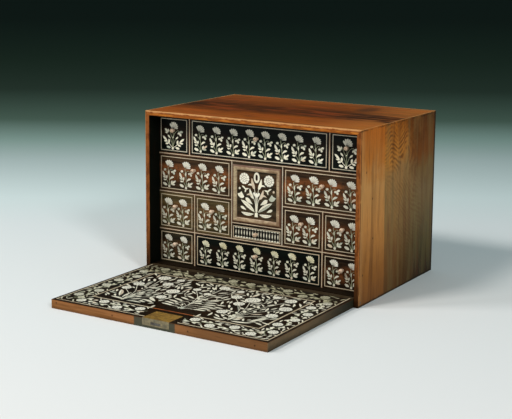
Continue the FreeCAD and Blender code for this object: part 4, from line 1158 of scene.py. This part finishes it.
class CABINET_OT_materials(CabinetStep, bpy.types.Operator):
    """Make the cabinet's woods, bone and metals"""
    bl_idname = "cabinet.materials"
    bl_label = "Make Materials"

    def execute(self, context):
        for shared in EFFECTS:
            make_effect(*shared)
        for make in (carcase_materials, veneer_materials, bone_materials, metal_materials):
            make(self.colours)
        return {"FINISHED"}


class CABINET_OT_carcase(CabinetStep, bpy.types.Operator):
    """Finish the top, the sides, the back and the floor"""
    bl_idname = "cabinet.carcase"
    bl_label = "Finish Carcase"

    def execute(self, context):
        cover("case_top", "case_top_wood")
        for node in ("side_left", "side_right"):
            cover(node, "case_side_wood")
        cover("case_back", "backing_board")
        cover("case_bottom", "floor_board")
        return {"FINISHED"}


class CABINET_OT_nest(CabinetStep, bpy.types.Operator):
    """Finish the shelves and partitions, and let a line into their front edges"""
    bl_idname = "cabinet.nest"
    bl_label = "Finish Nest"

    def execute(self, context):
        for node in ("shelves_long", "shelves_short", "partitions_short", "partitions_tall"):
            cover(node, "nest_board")
        boxes = {name: drawer_box(name) for name in DRAWERS}
        half = self.sizes.rail_line / MM / 2

        def shelf_middle(lower, upper):
            return halfway(boxes[lower][3], boxes[upper][1])

        def wall_middle(left, right):
            return halfway(boxes[left][2], boxes[right][0])

        high = shelf_middle("upper_left_drawer", "top_left_drawer")
        middle = shelf_middle("lower_outer_left_drawer", "upper_left_drawer")
        low = shelf_middle("bottom_left_drawer", "lower_outer_left_drawer")
        rail = shelf_middle("baluster_drawer", "deep_drawer")
        wall_end = wall_middle("top_middle_drawer", "top_right_drawer")
        wall_centre = wall_middle("deep_drawer", "upper_right_drawer")
        wall_bay = wall_middle("bottom_middle_drawer", "bottom_right_drawer")
        reach = boxes["top_right_drawer"][2] + 0.3
        floor, ceiling = boxes["bottom_left_drawer"][1], boxes["top_left_drawer"][3]
        inlay = Inlay(on_fronts, self.sizes)
        for z, start, end in (
            (high, -reach, reach), (low, -reach, reach), (rail, -wall_centre + half, wall_centre - half),
            (middle, -reach, -wall_centre - half), (middle, wall_centre + half, reach),
        ):
            inlay.across(z, start, end, half)
        # The tall partitions' lines are pale from end to end
        for x, start, end, tone in (
            (wall_end, high + half, ceiling, VARIED), (wall_centre, low + half, high - half, EVEN),
            (wall_bay, low + half, middle - half, VARIED), (wall_bay, floor, low - half, VARIED),
        ):
            for sign in (-1, 1):
                inlay.upright(sign * x, start, end, half, tone)
        inlay.finished("nest_lines", "case", ("string_wood", "pale_string") * 2)
        return {"FINISHED"}


class CABINET_OT_drawer_boxes(CabinetStep, bpy.types.Operator):
    """Finish the drawers' fronts, boxes and turned pieces"""
    bl_idname = "cabinet.drawer_boxes"
    bl_label = "Finish Drawers"

    def execute(self, context):
        black = (
            "top_left_drawer", "top_middle_drawer", "top_right_drawer",
            "bottom_middle_drawer", "baluster_drawer",
        )
        veneers = {
            **dict.fromkeys(black, "black_veneer"), "deep_drawer": "panel_veneer",
            "upper_left_drawer": "faded_veneer", "upper_right_drawer": "faded_veneer",
            "lower_inner_left_drawer": "olive_veneer", "lower_outer_left_drawer": "olive_veneer",
            "bottom_left_drawer": "dark_olive_veneer", "bottom_right_drawer": "dark_veneer",
        }
        for name in DRAWERS:
            cover(name + "_front", veneers.get(name, "brown_veneer"))
            cover(name + "_box", "drawer_lining")
            if name != "deep_drawer":
                cover(name + "_knob", "knob_bone")
        cover("baluster_row", "turned_bone")
        cover("deep_drawer_escutcheon", "white_bone")
        cover("deep_drawer_moulding", "cushion_bone")
        return {"FINISHED"}


class CABINET_OT_drawer_inlay(CabinetStep, bpy.types.Operator):
    """Let a line and a row of plants into each plain drawer"""
    bl_idname = "cabinet.drawer_inlay"
    bl_label = "Inlay Plain Drawers"

    def execute(self, context):
        for seed, name in enumerate(PLAIN_DRAWERS):
            inlay_front(name, self.sizes, seed)
        return {"FINISHED"}


# From the middle to the deep drawer's plant, and from its keyhole down to the plant's foot, in millimetres
DEEP_PLANT_X, DEEP_PLANT_DROP = -0.6, 86.2


class CABINET_OT_centre_inlay(CabinetStep, bpy.types.Operator):
    """Let the large plant into the deep drawer, and a line round the balustrade"""
    bl_idname = "cabinet.centre_inlay"
    bl_label = "Inlay Centre Drawers"

    def execute(self, context):
        inlay = Inlay(on_fronts, self.sizes)
        low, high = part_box("deep_drawer_escutcheon")
        inlay.at(complex(DEEP_PLANT_X, halfway(low.z, high.z) / MM - DEEP_PLANT_DROP))
        deep_plant(inlay)
        inlay.finished("deep_drawer_inlay", "deep_drawer")
        left, bottom, right, _ = drawer_box("baluster_drawer")
        line = Inlay(on_fronts, self.sizes)
        row_low, row_high = (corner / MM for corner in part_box("baluster_row"))
        line.frame(
            complex(halfway(left, row_low.x), halfway(bottom, row_low.z)),
            complex(halfway(right, row_high.x), row_high.z + halfway(row_low.z, bottom) - bottom + 0.3),
            self.sizes.string_width / MM,
        )
        line.finished("baluster_drawer_stringing", "baluster_drawer", ("string_wood",) * 4)
        return {"FINISHED"}


# Middles of the lines on the flap, and the bare stretch above the lock, in millimetres
OUTER_X = FLAP_HIGH.x - 6.8
OUTER_FRONT = FLAP_LOW.y + 9
BAND_BACK = -185.5
BORDER_BACK = BAND_BACK - 4
INNER_FRONT, INNER_BACK = -461, -243.5
LOST_LEFT, LOST_RIGHT = -48, 50
# Small leaves of the flap's border and of its field as (length, width)
BORDER_LEAVES = ((17, 3.4), (12, 3.2), (8.4, 3))
SMALL_FIELD_LEAVES = ((24, 5), (18, 4.8), (13, 4.2), (9, 3.6))
# How often each kind is tried there, and how far the border's keep from its edges
BORDER_TRIES, FIELD_TRIES = 80, 150
BORDER_INSET = 2 + 2j


class CABINET_OT_flap(CabinetStep, bpy.types.Operator):
    """Finish the flap, and let its lines in"""
    bl_idname = "cabinet.flap"
    bl_label = "Finish Flap"

    def execute(self, context):
        cover("flap", "flap_wood")
        sizes = self.sizes
        line = Inlay(on_flap, sizes)
        half = sizes.flap_line / MM / 2
        # The outer line runs along the sides and the front, and stops at the lock
        lock_low, lock_high = (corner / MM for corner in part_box("lock_plate"))
        for sign in (-1, 1):
            line.upright(sign * OUTER_X, OUTER_FRONT + half, BAND_BACK, half, EVEN)
        line.across(OUTER_FRONT, -OUTER_X - half, lock_low.x - 1, half, EVEN)
        line.across(OUTER_FRONT, lock_high.x + 14, OUTER_X + half, half, EVEN)
        # The inner line goes all round, and has lost its inlay above the lock
        inner_x = FLAP_HIGH.x - sizes.border / MM
        half = sizes.inner_line / MM / 2
        line.across(INNER_BACK, -inner_x - half, inner_x + half, half, EVEN)
        for sign in (-1, 1):
            line.upright(sign * inner_x, INNER_FRONT + half, INNER_BACK - half, half, EVEN)
        line.across(INNER_FRONT, -inner_x - half, LOST_LEFT, half, EVEN)
        line.across(INNER_FRONT, LOST_RIGHT, inner_x + half, half, EVEN)
        line.across(INNER_FRONT, LOST_LEFT, LOST_RIGHT, half, BARE)
        line.finished("flap_lines", "flap", ("flap_string", "flap_string", "bare_string"))
        return {"FINISHED"}


# The border's blossoms as (radius, petals), how far its stem runs past the first and the last of them, and
# how far it swings the other way from each, as a share of the blossom's distance from the middle line
BORDER_BLOSSOM = (10.8, 9)
STEM_END, STEM_SWING = 22, 0.85


def scroll(inlay, blossoms):
    """Part of a border: blossoms as (along, off), and a stem with leaves that winds between them"""
    inlay.stem(
        [complex(blossoms[0][0] - STEM_END, blossoms[0][1] * 0.4)]
        + [complex(along, -off * STEM_SWING) for along, off in blossoms]
        + [complex(blossoms[-1][0] + STEM_END, blossoms[-1][1] * 0.4)], 1.3, 1.3, STEM,
    )
    for index, (along, off) in enumerate(blossoms):
        flower = complex(along, off)
        side = 1 if off >= 0 else -1
        inlay.disc(flower, *BORDER_BLOSSOM, inlay.chance.uniform(0, 40))
        foot = complex(along, -off * STEM_SWING)
        for way in (-1, 1):
            inlay.leaf(foot + 2 * way, foot + way * 15 - side * 7j, 6, way * side * 1.4, 0.55, 0.7)
            inlay.leaf(foot + way * 8 - side * 1j, foot + way * 19 + side * 4j, 5.2, 0, 0.55, 0.7)
        if index + 1 < len(blossoms):
            after = complex(*blossoms[index + 1])
            inlay.lobes((flower + after) / 2 + side * 4j, 90 * side, 9, WHITE, 55, 0.52)


class CABINET_OT_flap_border(CabinetStep, bpy.types.Operator):
    """Let the winding border into the flap"""
    bl_idname = "cabinet.flap_border"
    bl_label = "Inlay Flap Border"

    def execute(self, context):
        inlay = Inlay(on_flap, self.sizes, 5)
        inner_x = FLAP_HIGH.x - self.sizes.border / MM
        back, front = halfway(INNER_BACK, BORDER_BACK), halfway(OUTER_FRONT, INNER_FRONT)
        inlay.at(complex(0, back))
        scroll(inlay, [
            (-200, 9), (-154, -9), (-109, 8.5), (-65, -9), (-20, 8),
            (25, 8), (70, -8.5), (117, 8), (162, -9), (206, 8),
        ])
        for flip, sign in ((False, 1), (True, -1)):
            inlay.at(complex(sign * halfway(inner_x, OUTER_X), 0), -1j, flip)
            scroll(inlay, [(245, 5), (289, -8.5), (332, 8.5), (377, 5), (420, -8.5), (465, 8.5)])
        inlay.at(complex(0, front))
        scroll(inlay, [(-203, -8), (-157, 9), (-111, -8.5), (-66, 8.5)])
        scroll(inlay, [(67, 8.5), (112, -8.5), (158, 8.5), (204, -8)])
        inlay.at(0)
        edge_x, edge_front = OUTER_X - 2.4, OUTER_FRONT + 2.6
        for low, high, aim in (
            (complex(-edge_x, INNER_BACK + 3.4), complex(edge_x, BORDER_BACK), 1),
            (complex(-edge_x, edge_front), complex(-inner_x - 3.2, BORDER_BACK), 1j),
            (complex(inner_x + 3.2, edge_front), complex(edge_x, BORDER_BACK), 1j),
            (complex(-edge_x, edge_front), complex(LOST_LEFT, INNER_FRONT - 3.4), 1),
            (complex(LOST_RIGHT, edge_front), complex(edge_x, INNER_FRONT - 3.4), 1),
        ):
            inlay.fill(low + BORDER_INSET, high - BORDER_INSET, lambda _: aim, BORDER_LEAVES, BORDER_TRIES)
        inlay.finished("flap_border_inlay", "flap")
        return {"FINISHED"}


def bush(inlay, base, flowers):
    """Stems from one base to flowers, as (place, radius, petals), with leaves along each"""
    for place, radius, petals in flowers:
        inlay.disc(place, radius, petals, inlay.chance.uniform(0, 40))
    for place, radius, petals in flowers:
        gap = place - base
        waist = base + complex(gap.real * 0.3, gap.imag * 0.55)
        path = smooth([base, base + complex(gap.real * 0.08, gap.imag * 0.22), waist,
                       place - radius * 1.04 * gap / abs(gap)], 6)
        inlay.stem(path[::4] + [path[-1]], 0.9, 1.5)
        for index in range(4, len(path) - 3, 4):
            ahead = path[index + 1] - path[index]
            ahead /= abs(ahead)
            for sign in (-1, 1):
                reach = inlay.chance.uniform(13, 19)
                tip = path[index] + ahead * cis(sign * inlay.chance.uniform(34, 52)) * reach
                if inlay.free(tip, 3.4) and inlay.free(halfway(tip, path[index]), 2.2):
                    root = path[index] + (tip - path[index]) * 0.12
                    inlay.leaf(root, tip, reach * 0.4, sign * 1.2, 0.55, 0.7)


# Flowers of the flap's field as (place, radius, petals), by the plant that they stand on
LEFT_FLOWERS = (
    (-178.7 - 333.3j, 12.7, 10), (-183.7 - 370j, 10.7, 9), (-158.7 - 267j, 14.5, 11),
    (-123.7 - 303.3j, 12, 10), (-83.7 - 341.7j, 15, 12), (-80.3 - 388.3j, 11.4, 9), (-118 - 264j, 9, 8),
)
RIGHT_FLOWERS = (
    (161.3 - 271.7j, 13, 10), (91.3 - 306.7j, 17, 12), (179.7 - 325j, 14, 11), (51.3 - 305j, 12.4, 10),
    (81.3 - 343.3j, 12.4, 10), (81.3 - 406.7j, 12, 9), (179.7 - 378.3j, 12.7, 10), (124 - 264j, 9.4, 8),
)
MIDDLE_FLOWERS = ((-5.3 - 263.3j, 12, 10), (-48.7 - 303.3j, 9, 8), (-12 - 320j, 8, 8), (38 - 268j, 8, 8))
# Leaves of the field as (base, tip, width, bend, cut along its rib)
FIELD_LEAVES = (
    (-158.7 - 428j, -182.5 - 388j, 9.6, -1.6, 1), (-145.4 - 437j, -151.6 - 394j, 4.6, 2.2, 0),
    (-72 - 421j, -99 - 400j, 8.6, 1.6, 0), (-106 - 424j, -72 - 431j, 7.4, 3.4, 0),
    (-133 - 446j, -172 - 439j, 7, -3.4, 1), (-126 - 447j, -90 - 445j, 6, 2.6, 1),
    (-162 - 300j, -174 - 283j, 6.4, 0, 0), (-60 - 276j, -80 - 262j, 6, 0, 0),
    (161.4 - 431j, 182 - 404j, 9.6, 1.4, 1), (101 - 434j, 90 - 423j, 6.4, -2, 0),
    (128 - 449j, 170 - 440j, 6.6, -3, 1), (116 - 449j, 86 - 444j, 6.4, 3, 1),
    (114 - 292j, 116 - 281j, 6.4, 0, 0), (160 - 298j, 175 - 297j, 6, 1, 0),
    (186 - 358j, 184 - 344j, 6.6, 0, 0), (-32 - 290j, -34 - 276j, 6, 0, 0), (136 - 324j, 146 - 310j, 6, 0, 0),
)
# The middle plant's long level leaves, as (how far out the tip is, how high)
LEVEL_LEAVES = ((54, 5), (56, 18), (55, 32), (51, 46), (45, 60), (40, 75))


class CABINET_OT_flap_field(CabinetStep, bpy.types.Operator):
    """Let the three large plants into the middle of the flap"""
    bl_idname = "cabinet.flap_field"
    bl_label = "Inlay Flap Field"

    def execute(self, context):
        inlay = Inlay(on_flap, self.sizes, 11)
        for base, tip, width, bend, cut in FIELD_LEAVES:
            inlay.leaf(base, tip, width, bend, 0.52, 0.7, cut * 0.5)
        # Feet of the three plants
        left, middle, right = -138 - 448j, -1 - 430j, 121.3 - 448j
        inlay.stem([middle, middle + 50j, -5.3 - 276j], 1.6, 1.4)
        inlay.lobes(middle - 3j, 90, 11, GREY, 58, 0.6)
        for index, (off, rise) in enumerate(LEVEL_LEAVES):
            for sign in (-1, 1):
                tip = middle + complex(sign * off, rise + 3)
                root = middle + complex(sign * (off - 29 + index), rise - 1 - index * 1.4)
                inlay.leaf(root, tip, 6.2, sign * 1.6, 0.5, 0.65)
                start = middle + complex(sign * 2, rise - 12)
                inlay.stem([start, halfway(middle + (rise - 2) * 1j, root), root], 0.9, 1.4)
        bush(inlay, middle + 20j, MIDDLE_FLOWERS)
        bush(inlay, left, LEFT_FLOWERS)
        bush(inlay, right, RIGHT_FLOWERS)
        for x in (-54.5, 56.6):
            inlay.leaf(complex(x, -466), complex(x, -444), 4.6, 0, 0.7, 0.7)
        inner_x = FLAP_HIGH.x - self.sizes.border / MM - 5.5
        for low, high in (
            (complex(-inner_x, INNER_FRONT + 20), complex(-62, INNER_BACK - 6)),
            (complex(-62, -424), complex(62, INNER_BACK - 6)),
            (complex(62, INNER_FRONT + 20), complex(inner_x, INNER_BACK - 6)),
        ):
            foot = complex(halfway(low.real, high.real), low.imag - 30)
            inlay.fill(
                low, high, lambda spot: (spot - foot) / abs(spot - foot), SMALL_FIELD_LEAVES, FIELD_TRIES
            )
        inlay.finished("flap_field_inlay", "flap")
        return {"FINISHED"}


HEAD_RINGS, HEAD_SIDES = 3, 14
# How deep a head's rim lies in what it sits on, and sizes of the knobs' pins and the lock's nails, in metres
HEAD_SEAT = 0.0001
PIN_RADIUS, PIN_RISE = 0.0011, 0.0004
NAIL_RADIUS, NAIL_RISE, NAIL_INSET = 0.0017, 0.0009, 0.0045


def dome(points, polygons, middle, radius, rise, way):
    """A low round head that looks along way (up or to the front), added to a mesh's lists"""
    low = len(points)

    def put(across, up, out):
        offset = Vector((across, up, out)) if way == "up" else Vector((across, -out, up))
        points.append(middle + offset)

    for ring in range(HEAD_RINGS):
        angle = math.pi / 2 * ring / HEAD_RINGS
        for index in range(HEAD_SIDES):
            turn = math.tau * index / HEAD_SIDES
            put(radius * math.cos(angle) * math.cos(turn), radius * math.cos(angle) * math.sin(turn),
                rise * math.sin(angle))
    put(0, 0, rise)
    for start in range(low, low + HEAD_SIDES * (HEAD_RINGS - 1), HEAD_SIDES):
        above = start + HEAD_SIDES
        for index in range(HEAD_SIDES):
            after = (index + 1) % HEAD_SIDES
            polygons.append((start + index, start + after, above + after, above + index))
    last = low + HEAD_SIDES * (HEAD_RINGS - 1)
    for index in range(HEAD_SIDES):
        polygons.append((last + index, last + (index + 1) % HEAD_SIDES, last + HEAD_SIDES))
    polygons.append(tuple(range(low + HEAD_SIDES - 1, low - 1, -1)))


def heads(name, body, look, middles, radius, rise, way):
    """Several round heads as one piece on a body"""
    points = []
    polygons = []
    for middle in middles:
        dome(points, polygons, middle, radius, rise, way)
    for face in add_piece(name, body, points, polygons, (look,)).polygons:
        face.use_smooth = len(face.vertices) < 5


class CABINET_OT_knob_pins(CabinetStep, bpy.types.Operator):
    """Pin each knob through its middle"""
    bl_idname = "cabinet.knob_pins"
    bl_label = "Pin Knobs"

    def execute(self, context):
        for name in DRAWERS:
            if name != "deep_drawer":
                low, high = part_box(name + "_knob")
                tip = Vector((halfway(low.x, high.x), low.y + HEAD_SEAT, halfway(low.z, high.z)))
                heads(name + "_pin", name, "pin_wood", [tip], PIN_RADIUS, PIN_RISE, "front")
        return {"FINISHED"}


class CABINET_OT_locks(CabinetStep, bpy.types.Operator):
    """Finish the locks, and nail the plate on"""
    bl_idname = "cabinet.locks"
    bl_label = "Finish Locks"

    def execute(self, context):
        cover("lock_plate", "old_brass")
        for node in ("lock_case", "lock_bolt", "drawer_lock_case", "drawer_lock_bolt", "pivot_pins"):
            cover(node, "dull_iron")
        low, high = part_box("lock_plate")
        heads("lock_nails", "flap", "old_brass", [
            Vector((x, y, high.z - HEAD_SEAT))
            for x in (low.x + NAIL_INSET, halfway(low.x, high.x), high.x - NAIL_INSET)
            for y in (low.y + NAIL_INSET, high.y - NAIL_INSET)
        ], NAIL_RADIUS, NAIL_RISE, "up")
        return {"FINISHED"}


# The camera of the photograph, solved from the cabinet's corners, in pixels, metres and radians
FRAME_WIDTH, FRAME_HEIGHT = 512, 419
CAMERA_FOCAL = 1235.87
CAMERA_CENTRE = 150
CAMERA_PLACE = (1.37706, -2.38415, 0.73471)
CAMERA_TURN = tuple(math.radians(angle) for angle in (-31.6532, -9.3927, 0.405))
SENSOR_WIDTH = 36
# Lamps as (name, place, aim, width, height, watts, tint), in metres
LAMPS = (
    ("key_light", (-1.3, -2.95, 4.0), (0, 0, 0.1), 1.0, 1.0, 108, (1, 0.97, 0.93)),
    ("fill_light", (3.2, -2.56, 2.65), (0, 0, 0.15), 0.8, 0.8, 94, (0.94, 0.985, 1)),
    ("front_light", (-0.9, -3.6, 0.75), (0, 0, 0.25), 2.4, 0.8, 20, (1, 0.98, 0.94)),
    ("side_light", (-2.7, -2.3, 2.9), (0, 0, 0.1), 1.0, 1.0, 66, (0.98, 0.99, 1)),
    ("top_light", (0.2, 0.6, 3.0), (0, -0.1, 0), 2.4, 1.8, 10, (0.9, 0.98, 1)),
)
# Half the floor's side, and how its paper darkens, painted shade for the light falling off, from 1 m before
# the cabinet's middle to 10 m behind it
FLOOR_REACH = 40.0
FLOOR_START, FLOOR_SPAN = 1, 11
FLOOR_STOPS = (
    (0.0, "E0DCDA"), (0.145, "DEE1E1"), (0.18, "DAE4E3"), (0.24, "BCC9C7"), (0.28, "96ADA4"),
    (0.33, "5B7062"), (0.427, "374639"), (0.577, "2D3D2D"), (0.97, "1B281A"),
)
AIR_STRENGTH = 0.36


class CABINET_OT_stage(CabinetStep, bpy.types.Operator):
    """Set the floor, the light and the camera"""
    bl_idname = "cabinet.stage"
    bl_label = "Set Stage"

    def execute(self, context):
        scene = bpy.context.scene
        scene.view_settings.view_transform = "Standard"

        def paper(w):
            # Painted shade: the sweep darkens with its distance behind the cabinet, as the light falls off
            # there
            yaw = CAMERA_TURN[0]
            back = w.vectors("DOT_PRODUCT", w.place(), (math.sin(yaw), math.cos(yaw), 0))
            haze = w.noise(w.place(), 0.5, 2, 0.5)
            back = w.muladd(w.muladd(haze, 0.3, back), 1 / FLOOR_SPAN, FLOOR_START / FLOOR_SPAN)
            return {"Base_Color": w.ramp(back, FLOOR_STOPS)}

        material("pale_paper", paper, Roughness=0.8, Specular_IOR_Level=0.1)
        mesh = bpy.data.meshes.new("studio_floor")
        ways = ((-1, -1), (1, -1), (1, 1), (-1, 1))
        mesh.from_pydata([(x * FLOOR_REACH, y * FLOOR_REACH, 0) for x, y in ways], [], [(0, 1, 2, 3)])
        mesh.materials.append(MATERIALS["pale_paper"])
        floor = bpy.data.objects.new("studio_floor", mesh)
        scene.collection.objects.link(floor)

        world = bpy.data.worlds.new("studio_air")
        world.use_nodes = True
        scene.world = world
        w = Wiring(world.node_tree)
        up = w.parts(w.node("ShaderNodeTexCoord").outputs["Generated"])[2]
        shade = world.node_tree.nodes["Background"]
        w.feed(shade.inputs["Color"], w.mix(w.step(up, 0.0, 0.55), "21322B", "90B6BA"))
        w.feed(shade.inputs["Strength"], AIR_STRENGTH)

        for name, place, aim, width, height, watts, tint in LAMPS:
            light = bpy.data.lights.new(name, "AREA")
            light.shape = "RECTANGLE"
            light.size, light.size_y = width, height
            light.energy = watts
            light.color = tint
            holder = bpy.data.objects.new(name, light)
            holder.location = place
            holder.rotation_euler = (Vector(aim) - Vector(place)).to_track_quat("-Z", "Y").to_euler()
            scene.collection.objects.link(holder)

        view = bpy.data.cameras.new("camera")
        view.sensor_width = SENSOR_WIDTH
        view.lens = CAMERA_FOCAL * SENSOR_WIDTH / FRAME_WIDTH
        view.shift_y = (CAMERA_CENTRE - FRAME_HEIGHT / 2) / FRAME_WIDTH
        view.clip_end = 50
        camera = bpy.data.objects.new("camera", view)
        camera.location = CAMERA_PLACE
        yaw, pitch, roll = CAMERA_TURN
        forward = Vector((
            math.sin(yaw) * math.cos(pitch), math.cos(yaw) * math.cos(pitch), math.sin(pitch)
        ))
        right = Vector((math.cos(yaw), -math.sin(yaw), 0))
        up_way = right.cross(forward)
        right, up_way = (
            right * math.cos(roll) + up_way * math.sin(roll),
            up_way * math.cos(roll) - right * math.sin(roll),
        )
        camera.rotation_euler = Matrix((right, up_way, -forward)).transposed().to_euler()
        scene.collection.objects.link(camera)
        scene.camera = camera
        return {"FINISHED"}


class VIEW3D_PT_cabinet(bpy.types.Panel):
    """Lists the cabinet's steps, sizes and colours"""
    bl_label = "Inlaid Cabinet"
    bl_idname = "VIEW3D_PT_cabinet"
    bl_space_type = "VIEW_3D"
    bl_region_type = "UI"
    bl_category = "Cabinet"

    def draw(self, context):
        for step in STEPS:
            self.layout.operator(step.bl_idname)
        for owner in (context.scene.cabinet_sizes, context.scene.cabinet_colours):
            column = self.layout.column(align=True)
            for key in owner.__annotations__:
                column.prop(owner, key)


STEPS = (
    CABINET_OT_materials,
    CABINET_OT_carcase,
    CABINET_OT_nest,
    CABINET_OT_drawer_boxes,
    CABINET_OT_drawer_inlay,
    CABINET_OT_centre_inlay,
    CABINET_OT_flap,
    CABINET_OT_flap_border,
    CABINET_OT_flap_field,
    CABINET_OT_knob_pins,
    CABINET_OT_locks,
    CABINET_OT_stage,
)
CLASSES = (CabinetSizes, CabinetColours, *STEPS, VIEW3D_PT_cabinet)


def register():
    for item in CLASSES:
        bpy.utils.register_class(item)
    bpy.types.Scene.cabinet_sizes = bpy.props.PointerProperty(type=CabinetSizes)
    bpy.types.Scene.cabinet_colours = bpy.props.PointerProperty(type=CabinetColours)


def unregister():
    del bpy.types.Scene.cabinet_colours
    del bpy.types.Scene.cabinet_sizes
    for item in reversed(CLASSES):
        bpy.utils.unregister_class(item)


def main():
    register()
    for step in STEPS:
        family, name = step.bl_idname.split(".")
        getattr(getattr(bpy.ops, family), name)()


if __name__ == "__main__":
    main()
